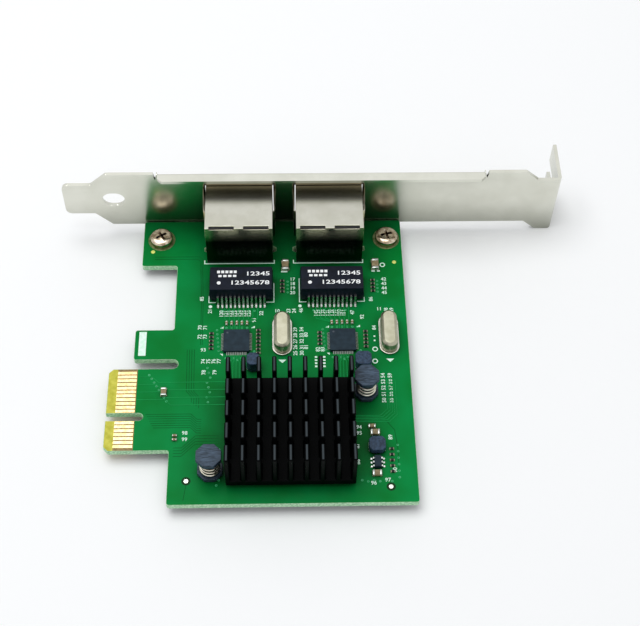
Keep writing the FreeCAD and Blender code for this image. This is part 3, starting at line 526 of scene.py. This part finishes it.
# Epoxy ink squeezed through a screen and baked: flat mint white with crisp edges.
ink = coat(finish_of("screened_epoxy_ink", Roughness=0.55), "#d4fbe4", "#eefff9", 0.7)
ink_low = 0.002
ink_high = 0.024
film = ink_high - ink_low
jack_stroke = 0.22
module_stroke = 0.2
stand_off = 0.2
left_rise = (1.9, 6.9)
right_rise = (5.6, 1.2)
flank = 0.15
outlines = []
for i in range(2):
    low, high = corners("jack_%d_shield" % (i + 1))
    rear = low.y - stand_off
    outlines.append(line([(low.x + 0.1, rear + 1.0), (low.x + 0.1, rear),
                          (high.x - 0.5, rear), (high.x - 0.5, rear + 1.0)], jack_stroke))
    low, high = corners("magnetics_%d_body" % (i + 1))
    front = low.y - stand_off
    outlines.append(line([(low.x - flank, front + left_rise[i]), (low.x - flank, front),
                          (low.x + 1.5, front)], module_stroke))
    outlines.append(line([(high.x + flank, front + right_rise[i]), (high.x + flank, front),
                          (high.x - 1.6, front)], module_stroke))
    # a small triangle at three corners of the controller
    low, high = corners("controller_%d_body" % (i + 1))
    for x, y, width, height in ((low.x - 0.9, high.y + 0.8, 0.8, 0.6),
                                (high.x + 0.3, high.y + 0.9, 0.9, 0.6),
                                (low.x - 0.8, low.y - 0.2, 0.7, -0.6)):
        outlines.append([(x, y), (x + width, y), (x + width, y + height)])
    # an arrowhead at the foot of the crystal
    crystal = middle("crystal_%d_can" % (i + 1))
    foot = crystal.y - 6.6
    outlines.append([(crystal.x - 0.9, foot), (crystal.x + 0.9, foot), (crystal.x, foot - 0.9)])
# two columns of ticks beside the second controller
for k in range(4):
    y = 15.6 - 0.85 * k
    for x in (47.3, 49.2):
        outlines.append(line([(x, y), (x, y - 0.45)], 0.55))
for start, end, y in ((39.4, 40.9, 39.9), (61.2, 62.0, 39.87), (62.5, 63.2, 39.87)):
    outlines.append(line([(start, y), (end, y)], 0.35))
for y in (21.2, 20.0):
    outlines.append(line([(61.05, y), (61.05, y - 0.4)], 0.4))
# a solid block on the hook tab
outlines.append(line([(7.2, 16.2), (7.2, 22.8)], 1.7))
plates("printed_lines", outlines, ink_low, ink_high, ink, "board_laminate")

ring = turned("printed_ring", [(0.42, 0.0), (0.66, 0.0), (0.66, film), (0.42, film),
                               (0.42, 0.0)], 20)
rings = [(63.9, 41.7, ink_low, 0), (61.05, 17.4, ink_low, 0), (60.9, 14.1, ink_low, 0)]
copies("printed_rings", rings, ring, ink, "board_laminate")
spot = turned("printed_dot", [(0, 0.0), (0.42, 0.0), (0.42, film), (0, film)], 16)
spots = [(magnetics[0].x - 7.3, 29.8, ink_low, 0), (magnetics[1].x - 7.6, 29.8, ink_low, 0)]
copies("printed_dots", spots, spot, ink, "board_laminate")


def numbers(name, labels, height, base, material, slot, stretch=1.0):
    """Plain printed numbers from (text, x, y, turn), in millimetres and degrees."""
    build = bmesh.new()
    half = film / 2
    weld = 0.0005 * mm
    for text, x, y, turn in labels:
        curve = bpy.data.curves.new("number", "FONT")
        curve.body = text
        curve.align_x = "CENTER"
        curve.align_y = "CENTER"
        # the font's digits are 1 / 1.35 of its size; the offset thickens their strokes
        curve.size = height * 1.35 * mm
        curve.offset = 0.02 * height * mm
        curve.extrude = half * mm
        curve.resolution_u = 2
        item = bpy.data.objects.new("number", curve)
        flat = bpy.data.meshes.new_from_object(item)
        spin = Matrix.Rotation(math.radians(turn), 4, "Z")
        spin = spin @ Matrix.Diagonal((stretch, 1, 1, 1))
        flat.transform(Matrix.Translation((x * mm, y * mm, (base + half) * mm)) @ spin)
        build.from_mesh(flat)
        bpy.data.objects.remove(item)
        bpy.data.meshes.remove(flat)
    bmesh.ops.remove_doubles(build, verts=build.verts, dist=weld)
    return piece(name, meshed(name, build), material, slot)


labels = []
count = 10
row_starts = (25.3, 47.6)
row_length = 7
column_places = ((42.1, 37.6), (64.0, 37.4))
lone_places = ((22.6, 28.5, 0.0), (34.7, 27.8, 0.0), (41.1, 28.4, 1.6), (42.4, 28.4, 1.6))
crystal_columns = ((19.8, (42.6, 44.1)), (6.9, (62.5, 64.1)))
port_shift = middle("jack_2_shield").x - middle("jack_1_shield").x
for i in range(2):
    # a row on end along the foot of the magnetics module
    for k in range(row_length):
        labels.append((str(110 + count + k), row_starts[i] + 1.08 * k, magnetics[i].y - 7.0, 90))
    count += row_length
    # a short column beside the module
    column_x, column_y = column_places[i]
    for k in range(4):
        labels.append((str(count + k), column_x, column_y - 1.32 * k, 0))
    count += 4
    # lone numbers round the module, the last two a little farther out on the second port
    for x, y, farther in lone_places:
        labels.append((str(count), x + (port_shift + farther) * i, y, 90))
        count += 1
    # two long columns beside the crystal
    column_y, columns = crystal_columns[i]
    for x in columns:
        labels.append((" ".join(str(count + k) for k in range(5)), x, column_y, 90))
        count += 5
# position numbers of the small parts, on end and then upright
for x, y in ((20.4, 23.9), (21.6, 23.9), (20.4, 21.3), (21.6, 21.3), (21.4, 14.5), (22.6, 14.5),
             (23.8, 14.5), (25.0, 14.5), (21.6, 11.5), (24.1, 11.5), (45.1, 21.6), (45.1, 18.2),
             (47.8, 17.5), (48.9, 17.5), (61.1, 23.4), (20.6, 32.1), (60.7, 31.6), (56.0, -8.0),
             (56.0, -12.0), (63.4, -5.9), (64.0, -14.1), (33.0, 25.9), (58.4, 26.5)):
    labels.append((str(count % 90 + 10), x, y, 90))
    count += 1
for x, y in ((21.3, 17.6), (56.5, -3.3), (56.5, -4.8), (59.2, -17.2), (62.3, -16.5), (17.8, -4.3),
             (17.8, -5.9), (38.4, 28.4), (62.5, 28.7)):
    labels.append((str(count % 90 + 10), x, y, 0))
    count += 1
numbers("printed_numbers", labels, 0.95, ink_low, ink, "board_laminate")


# ---- Edge contacts -----------------------------------------------------------------------
# Copper fingers on both faces of the tongue, etched with the tracks, then plated with
# nickel and a thin hard gold to wipe against the slot's springs, as the jacks' wires are.

# Gold a micrometre thick over nickel: pale and warm, half a mirror, with soft patches.
gold = coat(finish_of("thin_gold_plating", Metallic=1.0, Roughness=0.3),
            "#d8b87e", "#ecd6a4", 1.0, grain=0.3, depth=0.003)
dress(gold, "edge_contacts_top", "edge_contacts_bottom", "jack_1_wires", "jack_2_wires")


# ---- Slot bracket ------------------------------------------------------------------------
# One stamped and folded sheet of nickel-plated steel: satin, half mirror, with its
# sheared edges rolled a little by the die.

# Nickel over cold-rolled steel keeps the sheet's satin: a grey half mirror that takes the white of
# the room where it faces out, with painted shade and reflection in green-grey where it faces the
# board.
nickel = coat(finish_of("satin_nickel_plated_steel", Metallic=1.0, Roughness=0.22),
              "#d2d2c6", "#dcdcd1", 7.0, grain=0.5, depth=0.0015, crevice_shade=("#3c4638", 12.0))
softened("slot_bracket", "bracket", 0.12, nickel, "plated_steel", clamp=True)


# ---- Bracket screws ----------------------------------------------------------------------
# Pan-head machine screws of cold-headed steel, cross recessed and plated, turned into the
# bracket's ears and seated on a tinned ring of the board's copper.

# Nickel flashed over with a bronze tint: sharp glints on the dome, and painted shade, deep brown,
# in the cross.
bronze = coat(finish_of("bronzed_nickel_plating", Metallic=1.0, Roughness=0.16),
              "#97836b", "#dccfbb", 1.2, grain=0.6, depth=0.004,
              crevice_shade=("#120d08", 0.9))
screw_low, screw_high = corners("bracket_screws")
screw_y = (screw_low.y + screw_high.y) / 2
head = (screw_high.y - screw_low.y) / 2
crown = screw_high.z
shank = 1.45
point = screw_low.z
tip_break = 0.25
rim_break = 0.1
shoulder = crown - 0.95
dome_reach = 1.25
dome_rise = 0.8
steps = 6
profile = [(0, point), (shank - tip_break, point), (shank, point + tip_break), (shank, 0.0),
           (head - rim_break, 0.0), (head, rim_break), (head, shoulder)]
for k in range(1, steps + 1):
    angle = math.pi / 2 * k / steps
    profile.append((head - dome_reach * (1 - math.cos(angle)),
                    shoulder + dome_rise * math.sin(angle)))
profile += [(0.8, crown - 0.03), (0, crown)]
blank = bpy.data.objects.new("screw", turned("screw", profile, 40))
for face in blank.data.polygons:
    face.use_smooth = True
# the driver's cross, pressed in with tapering wings, wider at the crown than at its floor
half_span = 1.5
half_width = 0.34
cross_floor = crown - 1.15
clear_of_crown = crown + 0.2
build = bmesh.new()
rings = []
for height, size in ((cross_floor, 0.5), (clear_of_crown, 1.1)):
    inner = half_width * (0.6 + 0.4 * size)
    ring = []
    for quarter in range(4):
        turn_by = Matrix.Rotation(math.pi / 2 * quarter, 3, "Z")
        for x, y in ((inner, -inner), (half_span * size, -half_width * size),
                     (half_span * size, half_width * size)):
            ring.append(build.verts.new(turn_by @ Vector((x, y, height)) * mm))
    rings.append(ring)
build.faces.new(rings[0])
build.faces.new(rings[1])
for i in range(len(rings[0])):
    build.faces.new((rings[0][i - 1], rings[0][i], rings[1][i], rings[1][i - 1]))
bmesh.ops.recalc_face_normals(build, faces=build.faces)
cross = bpy.data.objects.new("cross", meshed("cross", build))
scene.collection.objects.link(blank)
scene.collection.objects.link(cross)
press = blank.modifiers.new("press", "BOOLEAN")
press.operation = "DIFFERENCE"
press.object = cross
press.solver = "EXACT"
pressed = evaluated(blank)
pressed.set_sharp_from_angle(angle=math.radians(40))
bpy.data.objects.remove(blank)
bpy.data.objects.remove(cross)
places = [(screw_low.x + head, screw_y, 0.0, 32), (screw_high.x - head, screw_y, 0.0, 15)]
copies("bracket_screws_turned", places, pressed, bronze, "screw_steel", "bracket_screws")
seat_inner = head - 0.6
seat_outer = head + 0.55
seat_height = 0.05
seat = turned("screw_seat", [(seat_inner, 0.0), (seat_outer, 0.0),
                             (seat_outer - 0.05, seat_height), (seat_inner, seat_height),
                             (seat_inner, 0.0)], 36)
# Tin smeared thin over a ring of copper, among the mask's green: a dull olive rim.
seat_tin = coat(finish_of("tinned_copper_seat", Metallic=1.0, Roughness=0.4),
                "#4d5f36", "#7d8560", 1.0)
copies("screw_seats", places, seat, seat_tin, "solder")


# ---- Network jacks -----------------------------------------------------------------------
# Folded tin-plated steel shields, bright and nearly mirror-smooth, over black nylon
# inserts with gold-plated spring wires and milky lamp windows.

def recoloured(material):
    """A material's tree, its colour socket, and the colour that reaches it so far."""
    socket = material.node_tree.nodes["Principled BSDF"].inputs["Base Color"]
    return material.node_tree, socket, socket.links[0].from_socket


# Tin plated over half-hard sheet is nearly a mirror: it shows the white room, with painted shade,
# warm brown, in its folds. The rear wall has a painted reflection and shade of the dark board: dark
# green-grey low down, pale higher up.
shield_tin = coat(finish_of("bright_tin_plated_steel", Metallic=1.0, Roughness=0.24),
                  "#b9b8ab", "#c4c3b8", 5.0, grain=0.25, depth=0.002,
                  crevice_shade=("#ad9262", 4.0))
tree, colour_socket, roof_colour = recoloured(shield_tin)
# painted reflection and shade: the rear wall darkens to green-grey the lower it is
facing = add(tree, "ShaderNodeSeparateXYZ",
             {"Vector": add(tree, "ShaderNodeNewGeometry").outputs["True Normal"]})
rearward = add(tree, "ShaderNodeMath", {0: facing.outputs["Y"], 1: -0.7},
               operation="LESS_THAN")
height = add(tree, "ShaderNodeSeparateXYZ",
             {"Vector": add(tree, "ShaderNodeTexCoord").outputs["Object"]})
shield_top = corners("jack_1_shield")[1].z
shade = add(tree, "ShaderNodeMapRange",
            {"Value": height.outputs["Z"], "From Min": 0.62 * shield_top * mm,
             "From Max": 0.8 * shield_top * mm})
painted_wall_shade = add(tree, "ShaderNodeMix", {0: shade.outputs[0], 6: linear("#26362b"),
                                   7: linear("#cfd0aa")}, data_type="RGBA")
both = add(tree, "ShaderNodeMix", {0: rearward.outputs[0], 6: roof_colour, 7: painted_wall_shade.outputs[2]},
           data_type="RGBA")
tree.links.new(both.outputs[2], colour_socket)
# Glass-filled nylon from a spark-eroded mould: deep black with a dull, even sheen.
nylon = coat(finish_of("moulded_black_nylon", Roughness=0.45, Specular_IOR_Level=0.3),
             "#0f1011", "#191a1c", 2.0)
# Milky plastic moulded clear of flow marks: a pale yellow-green window, softly glossy.
lens = coat(finish_of("milky_lamp_plastic", Roughness=0.25), "#e0ebbb", "#f8ffda", 2.0)
for number in (1, 2):
    softened("jack_%d_can" % number, "jack_%d_shield" % number, 0.08, shield_tin, "tinned_shield")
dress(nylon, "jack_1_housing", "jack_2_housing")
dress(lens, "jack_1_lamps", "jack_2_lamps")


# ---- Magnetics modules -------------------------------------------------------------------
# Transformer coils potted in a blue-black epoxy block with slightly rounded arrises, on
# two rows of tinned gull-wing leads. The print is a pin-one dot, dashes and plain numbers.

# Epoxy pressed in a matt mould: blue-black, greying a little where light grazes it.
epoxy = coat(finish_of("blue_black_epoxy_moulding", Roughness=0.42, Specular_IOR_Level=0.12),
             "#0b101c", "#121827", 1.5, grain=0.15, depth=0.006)
# Tin dipped on formed copper: bright cool grey, and white where a bend faces the light.
leads = coat(finish_of("bright_tinned_leads", Metallic=1.0, Roughness=0.24),
             "#a3a8a4", "#c2c5c1", 0.8, grain=0.3, depth=0.004)
# Ink laid on by a silicone pad: flat, pure white against the block.
white_ink = coat(finish_of("white_pad_print", Roughness=0.6), "#f1f6f9", "#ffffff", 0.5)
prints = []
counts = []
dots = []
for number in (1, 2):
    body = "magnetics_%d_body" % number
    softened("magnetics_%d_block" % number, body, 0.16, epoxy, "chip_moulding")
    dress(leads, "magnetics_%d_leads" % number)
    low, high = corners(body)
    block_top = high.z
    dots.append((low.x + 2.35, low.y + 2.15, block_top, 0))
    counts.append(("12345", high.x - 3.6, high.y - 2.35, 0))
    counts.append(("12345678", high.x - 5.5, low.y + 2.15, 0))
    for k in range(5):
        prints.append(line([(low.x + 1.9 + 0.98 * k, high.y - 1.75),
                            (low.x + 2.6 + 0.98 * k, high.y - 1.75)], 0.75))
    for k in range(4):
        prints.append(line([(low.x + 2.2 + 1.15 * k, high.y - 2.95),
                            (low.x + 3.0 + 1.15 * k, high.y - 2.95)], 0.6))
pad_film = 0.02
plates("magnetics_dashes", prints, block_top, block_top + pad_film, white_ink, "chip_moulding")
numbers("magnetics_numbers", counts, 1.2, block_top, white_ink, "chip_moulding", stretch=1.45)
mark = turned("pin_dot", [(0, 0.0), (0.46, 0.0), (0.46, pad_film), (0, pad_film)], 20)
copies("magnetics_dots", dots, mark, white_ink, "chip_moulding")


# ---- Controllers, bridge chip and regulator ----------------------------------------------
# Leadless and gull-wing packages in grey-black moulding compound, satin on top, sitting
# in bright fillets of solder.

# Silica-filled epoxy from a satin mould: dark slate with a trace of blue in its shine.
compound = coat(finish_of("moulding_compound", Roughness=0.4, Specular_IOR_Level=0.15),
                "#132530", "#1e313d", 1.2, grain=0.1, depth=0.005)
for node in ("controller_1", "controller_2", "bridge_chip", "regulator"):
    softened(node + "_package", node + "_body", 0.07, compound, "chip_moulding")
# Solder reflowed and frozen smooth: bright silver with soft, rippled glints.
solder = coat(finish_of("tin_lead_solder", Metallic=1.0, Roughness=0.3),
              "#a2a8a4", "#c6c9c6", 0.5, grain=0.3, depth=0.01)
dress(solder, "bridge_chip_solder", "choke_pads", "regulator_leads")
# Solder climbing a sawn flank, dulled by flux: grey, with painted shade, nearly black, between the
# pads.
flank_solder = coat(finish_of("grey_flank_solder", Metallic=1.0, Roughness=0.35),
                    "#7c857e", "#98a09a", 0.5, grain=0.3, depth=0.01,
                    crevice_shade=("#1c2420", 0.8))
dress(flank_solder, "controller_1_solder", "controller_2_solder")
pit_radius = 0.26
pit_height = 0.012
pit = turned("pin_pit", [(0, 0.0), (pit_radius, 0.0), (pit_radius - 0.02, pit_height),
                         (0, pit_height)], 18)
# The polished end of the mould's ejector pin leaves a small round spot, lighter than the rest.
pit_shine = coat(finish_of("polished_pin_mark", Roughness=0.2), "#313a45", "#3b4551", 0.5)
pits = []
for number in (1, 2):
    low, high = corners("controller_%d_body" % number)
    pits.append((low.x + 0.9, high.y - 0.9, high.z, 0))
copies("controller_pin_marks", pits, pit, pit_shine, "chip_moulding")


# ---- Crystals ----------------------------------------------------------------------------
# Drawn nickel-silver cans, rounded at the crown and welded to a flanged base that shines
# as a bright rim.

# Copper-nickel-zinc sheet drawn in an oiled die: warm grey and satin, with no grain to see.
silver = coat(finish_of("drawn_nickel_silver", Metallic=1.0, Roughness=0.4),
              "#a3a18b", "#b2b09c", 1.6, grain=0.25, depth=0.004)
# The base's flange, a paler and glossier metal than the can: a bright line round the foot of the
# can, with painted shade, near black, where the can meets it.
rim = coat(finish_of("welded_nickel_rim", Metallic=1.0, Roughness=0.22),
           "#d2cfc4", "#e9e6dc", 1.0, crevice_shade=("#0b0e0a", 0.9))
for number in (1, 2):
    softened("crystal_%d_cap" % number, "crystal_%d_can" % number, 0.12, silver, "crystal_can")
    softened("crystal_%d_rim" % number, "crystal_%d_base" % number, 0.14, rim, "crystal_can")


# ---- Heat sink ---------------------------------------------------------------------------
# An extruded comb of black anodised aluminium, cross-cut into rows of upright blades,
# on a grey silicone pad.

# A dyed film on extruded aluminium: black, with hardly any shine, and a painted highlight in grey
# on the flat tops of the crests. The die's lines, too fine to show, are drawn 0.2 mm wide along the
# fins.
anodised = coat(finish_of("black_anodised_aluminium", Roughness=0.4, Specular_IOR_Level=0.03),
                "#000101", "#040506", 3.0, grain=0.2, depth=0.003, stretch=(1, 0.2, 1))
crest_depth = 0.3
tree, colour_socket, dyed_colour = recoloured(anodised)
facing = add(tree, "ShaderNodeSeparateXYZ",
             {"Vector": add(tree, "ShaderNodeNewGeometry").outputs["True Normal"]})
skyward = add(tree, "ShaderNodeMath", {0: facing.outputs["Z"], 1: 0.97},
              operation="GREATER_THAN")
height = add(tree, "ShaderNodeSeparateXYZ",
             {"Vector": add(tree, "ShaderNodeTexCoord").outputs["Object"]})
crest = add(tree, "ShaderNodeMath", {0: height.outputs["Z"],
                                     1: (sink_high.z - crest_depth) * mm},
            operation="GREATER_THAN")
# painted highlight: the upward faces of the crests turn grey
crest_highlight = add(tree, "ShaderNodeMath", {0: skyward.outputs[0], 1: crest.outputs[0]},
           operation="MULTIPLY")
tone = add(tree, "ShaderNodeMix", {0: crest_highlight.outputs[0], 6: dyed_colour, 7: linear("#3d4448")},
           data_type="RGBA")
tree.links.new(tone.outputs[2], colour_socket)
softened("heat_sink_comb", "heat_sink", 0.3, anodised, "anodised_aluminium")
# Filled silicone rubber rolled into sheet: a chalky blue-grey edge under the heat sink.
silicone = coat(finish_of("silicone_thermal_pad", Roughness=0.7), "#9fa8af", "#b7bfc5", 1.0)
dress(silicone, "thermal_pad")


# ---- Inductors and chokes ----------------------------------------------------------------
# Slate ferrite bobbins with ground octagonal cheeks that keep the grinding marks, wound
# with thick enamelled wire; the small chokes are moulded round theirs.

# Fired ferrite ground flat on a wheel: slate grey, with paler scratches all one way, and painted
# shade, near black, in the crevices by the cheeks. The scratches are finer than 0.1 mm in the real
# part and are drawn 0.2 mm wide, so that they show.
ferrite = coat(finish_of("ground_ferrite", Roughness=0.42, Specular_IOR_Level=0.2),
               "#182530", "#4f6277", 0.5, grain=0.18, depth=0.012, crevice_shade=("#05080d", 3.0),
               stretch=(0.35, 2.2, 1), spread=(0.3, 0.75))
# Ferrite powder pressed in a soft binder: blue-grey, with its grit drawn coarse at 0.12 mm.
moulded = coat(finish_of("moulded_ferrite_powder", Roughness=0.45, Specular_IOR_Level=0.2),
               "#203042", "#364b64", 0.6, grain=0.12, depth=0.01)
# Clear enamel baked on drawn wire: smooth, pale warm metal, with a bright line on each turn.
wire_skin = coat(finish_of("enamelled_copper_wire", Metallic=1.0, Roughness=0.28),
                 "#cdc4b4", "#f0eadf", 2.5)

coil = bpy.data.node_groups.new("wound_coil", "GeometryNodeTree")
coil_sockets = {}
for name, kind in (("Turns", "Float"), ("Radius", "Float"), ("Height", "Float"), ("Wire", "Float"),
                   ("Centre", "Vector"), ("Finish", "Material")):
    coil_sockets[name] = coil.interface.new_socket(name=name, in_out="INPUT",
                                                   socket_type="NodeSocket" + kind).identifier
coil.interface.new_socket(name="Coil", in_out="OUTPUT", socket_type="NodeSocketGeometry")
given = add(coil, "NodeGroupInput").outputs
spiral = add(coil, "GeometryNodeCurveSpiral",
             {"Resolution": 26, "Rotations": given["Turns"], "Start Radius": given["Radius"],
              "End Radius": given["Radius"], "Height": given["Height"]})
section = add(coil, "GeometryNodeCurvePrimitiveCircle",
              {"Resolution": 8, "Radius": given["Wire"]}, mode="RADIUS")
strand = add(coil, "GeometryNodeCurveToMesh",
             {"Curve": spiral.outputs["Curve"], "Profile Curve": section.outputs["Curve"],
              "Fill Caps": True})
moved = add(coil, "GeometryNodeTransform", {"Geometry": strand.outputs["Mesh"],
                                            "Translation": given["Centre"]})
solid = add(coil, "GeometryNodeRealizeInstances", {"Geometry": moved.outputs["Geometry"]})
finished = add(coil, "GeometryNodeSetMaterial",
               {"Geometry": solid.outputs["Geometry"], "Material": given["Finish"]})
add(coil, "NodeGroupOutput", {"Coil": finished.outputs["Geometry"]})

cheek = 1.2
turns_of_wire = 3.6
wire = 0.25
winding_radius = 2.3
end_offset = 1.25
end_tip = 0.18
for number in (1, 2):
    core = "inductor_%d_core" % number
    winding = "inductor_%d_winding" % number
    low, high = corners(core)
    softened("inductor_%d_bobbin" % number, core, 0.14, ferrite, "ferrite")
    carrier = bpy.data.objects.new("coil", bpy.data.meshes.new("coil"))
    scene.collection.objects.link(carrier)
    room = high.z - low.z - 2 * cheek - 2 * wire
    centre = ((low.x + high.x) / 2 * mm, (low.y + high.y) / 2 * mm, (low.z + cheek + wire) * mm)
    mesh = grown(carrier, coil, {
        coil_sockets["Turns"]: turns_of_wire,
        coil_sockets["Radius"]: (winding_radius - wire) * mm,
        coil_sockets["Height"]: room * mm, coil_sockets["Wire"]: wire * mm,
        coil_sockets["Centre"]: centre, coil_sockets["Finish"]: wire_skin})
    build = bmesh.new()
    build.from_mesh(mesh)
    for face in build.faces:
        face.smooth = True
    # the two tinned ends of the wire, down through the board
    foot = corners(winding)[0].z
    pin = turned("coil_end", [(0, foot), (end_tip, foot), (wire, foot + 0.1), (wire, 0.0),
                              (0, 0.0)], 12)
    for offset in (-end_offset, end_offset):
        moved_pin = pin.copy()
        moved_pin.transform(Matrix.Translation((centre[0] + offset * mm, centre[1], 0)))
        build.from_mesh(moved_pin)
    piece("inductor_%d_turns" % number, meshed("turns", build), wire_skin, "enamelled_wire",
          winding)
for number in (1, 2, 3):
    softened("choke_%d_block" % number, "choke_%d" % number, 0.2, moulded, "ferrite")


# ---- Chip capacitors and resistors -------------------------------------------------------
# Fired ceramic blocks with dipped tin ends, each standing on solder that wets a pad a
# little larger than the end.

# Sintered ceramic tumbled smooth: matt tan, like biscuit ware.
fired = coat(finish_of("fired_barium_titanate", Roughness=0.4, Specular_IOR_Level=0.2),
             "#817253", "#9f8f6e", 0.6)
# Glass fired over a resistive film: near black, with one small hard glint.
glaze = coat(finish_of("glazed_resistor_film", Roughness=0.3, Specular_IOR_Level=0.2),
             "#0a0b0d", "#151619", 0.5)
# Tin dipped and left unburnished: dull grey with a trace of yellow.
dull_tin = coat(finish_of("dull_dipped_tin", Metallic=1.0, Roughness=0.45),
                "#7d7f6c", "#9c9d88", 0.5)
softened("capacitor_blocks", "capacitor_bodies", 0.05, fired, "capacitor_ceramic", segments=1)
softened("capacitor_caps", "capacitor_ends", 0.06, leads, "tinned_leads")
dress(glaze, "resistor_bodies")
softened("resistor_caps", "resistor_ends", 0.05, dull_tin, "tinned_leads", segments=1)

land = bpy.data.node_groups.new("wetted_lands", "GeometryNodeTree")
land_sockets = {}
for name, kind in (("Ends", "Geometry"), ("Spread", "Float"), ("Flatness", "Vector"),
                   ("Finish", "Material")):
    land_sockets[name] = land.interface.new_socket(name=name, in_out="INPUT",
                                                   socket_type="NodeSocket" + kind).identifier
land.interface.new_socket(name="Lands", in_out="OUTPUT", socket_type="NodeSocketGeometry")
given = add(land, "NodeGroupInput").outputs
joined = add(land, "GeometryNodeMergeByDistance",
             {"Geometry": given["Ends"], "Distance": 0.002 * mm})
wider = add(land, "GeometryNodeScaleElements",
            {"Geometry": joined.outputs["Geometry"], "Scale": given["Spread"]}, domain="FACE")
where = add(land, "GeometryNodeInputPosition")
lowered = add(land, "ShaderNodeVectorMath", {0: where.outputs["Position"], 1: given["Flatness"]},
              operation="MULTIPLY")
settled = add(land, "GeometryNodeSetPosition", {"Geometry": wider.outputs["Geometry"],
                                                "Position": lowered.outputs["Vector"]})
solid = add(land, "GeometryNodeRealizeInstances", {"Geometry": settled.outputs["Geometry"]})
finished = add(land, "GeometryNodeSetMaterial",
               {"Geometry": solid.outputs["Geometry"], "Material": given["Finish"]})
add(land, "NodeGroupOutput", {"Lands": finished.outputs["Geometry"]})
for name, source, spread in (("capacitor_lands", "capacitor_ends", 1.15),
                             ("resistor_lands", "resistor_ends", 1.25)):
    carrier = bpy.data.objects.new(name, nodes[source].data.copy())
    scene.collection.objects.link(carrier)
    mesh = grown(carrier, land, {land_sockets["Spread"]: spread,
                                 land_sockets["Flatness"]: (1.0, 1.0, 0.25),
                                 land_sockets["Finish"]: dull_tin})
    lowest = min(vertex.co.z for vertex in mesh.vertices)
    mesh.transform(Matrix.Translation((0, 0, -lowest)))
    piece(name, mesh, dull_tin, "solder")


# ---- Solder joints under the board -------------------------------------------------------
# Each pin that comes through the board ends in a cone of solder, drawn up round it by the
# wave that the card passes over. The cones have the solder of the chips' own joints.

softened("solder_cones", "solder_joints", 0.12, solder, "solder")


# ---- Floor, light and camera -------------------------------------------------------------
# The card lies on a plain white sheet under one broad, soft lamp, in a white room. The
# room and sheet look pure white, but light the card only at a plain level.

rest_height = cad_box[0][2]
half_sheet = 3.0
sheet_mesh = bpy.data.meshes.new("floor")
sheet_mesh.from_pydata([(x * half_sheet, y * half_sheet, rest_height)
                        for x, y in ((-1, -1), (1, -1), (1, 1), (-1, 1))], [], [(0, 1, 2, 3)])
floor = bpy.data.objects.new("floor", sheet_mesh)
scene.collection.objects.link(floor)
# Uncoated paper: flat white with no shine of its own, so the card's soft shadow shows.
paper = coat(finish_of("white_paper", Roughness=0.9), "#e4e7eb", "#e8ebee", 80.0)


def seen(tree):
    """One where a ray comes from the camera or shows in metal or clear plastic."""
    ray = add(tree, "ShaderNodeLightPath").outputs
    mirrored = add(tree, "ShaderNodeMath", {0: ray["Is Glossy Ray"], 1: ray["Is Transmission Ray"]},
                   operation="MAXIMUM")
    return add(tree, "ShaderNodeMath", {0: ray["Is Camera Ray"], 1: mirrored.outputs[0]},
               operation="MAXIMUM").outputs[0]


room_white = linear("#fdfeff")
tree, colour_socket, paper_colour = recoloured(paper)
shown = add(tree, "ShaderNodeMix", {0: seen(tree), 6: paper_colour, 7: room_white},
            data_type="RGBA")
tree.links.new(shown.outputs[2], colour_socket)
sheet_mesh.materials.append(paper)

world = bpy.data.worlds.new("soft_white_room")
scene.world = world
world.use_nodes = True
sky = world.node_tree.nodes["Background"]
sky.inputs["Color"].default_value = room_white
brightness = add(world.node_tree, "ShaderNodeMapRange",
                 {"Value": seen(world.node_tree), "To Min": 0.6, "To Max": 1.0})
world.node_tree.links.new(brightness.outputs[0], sky.inputs["Strength"])

centre = (cad_box[0] + cad_box[1]) / 2
lamp_place = Vector((centre.x - 0.15, centre.y + 0.1, 0.7))
lamp_data = bpy.data.lights.new("overhead", "AREA")
lamp_data.shape = "DISK"
lamp_data.size = 0.6
lamp_data.energy = 2.5
lamp = bpy.data.objects.new("overhead", lamp_data)
lamp.location = lamp_place
lamp.rotation_euler = (Vector(centre) - lamp_place).to_track_quat("-Z", "Y").to_euler()
scene.collection.objects.link(lamp)

# the camera looks down on the card from beyond its free edge, a little out of level
yaw = math.radians(-2.54)
elevation = math.radians(55.35)
roll = math.radians(1.54)
target = Vector((48.5, 27.7, 0.0)) * mm
distance = 310.5 * mm
back = Vector((math.sin(yaw) * math.cos(elevation), -math.cos(yaw) * math.cos(elevation),
               math.sin(elevation)))
across = Vector((0, 0, 1)).cross(back).normalized()
upward = back.cross(across)
right = across * math.cos(roll) + upward * math.sin(roll)
above = upward * math.cos(roll) - across * math.sin(roll)
camera_data = bpy.data.cameras.new("camera")
camera_data.lens = 74.04
camera_data.sensor_width = 36.0
camera = bpy.data.objects.new("camera", camera_data)
turned_to = Matrix((right, above, back)).transposed().to_4x4()
camera.matrix_world = Matrix.Translation(target + back * distance) @ turned_to
scene.collection.objects.link(camera)
scene.camera = camera
scene.view_settings.view_transform = "Standard"
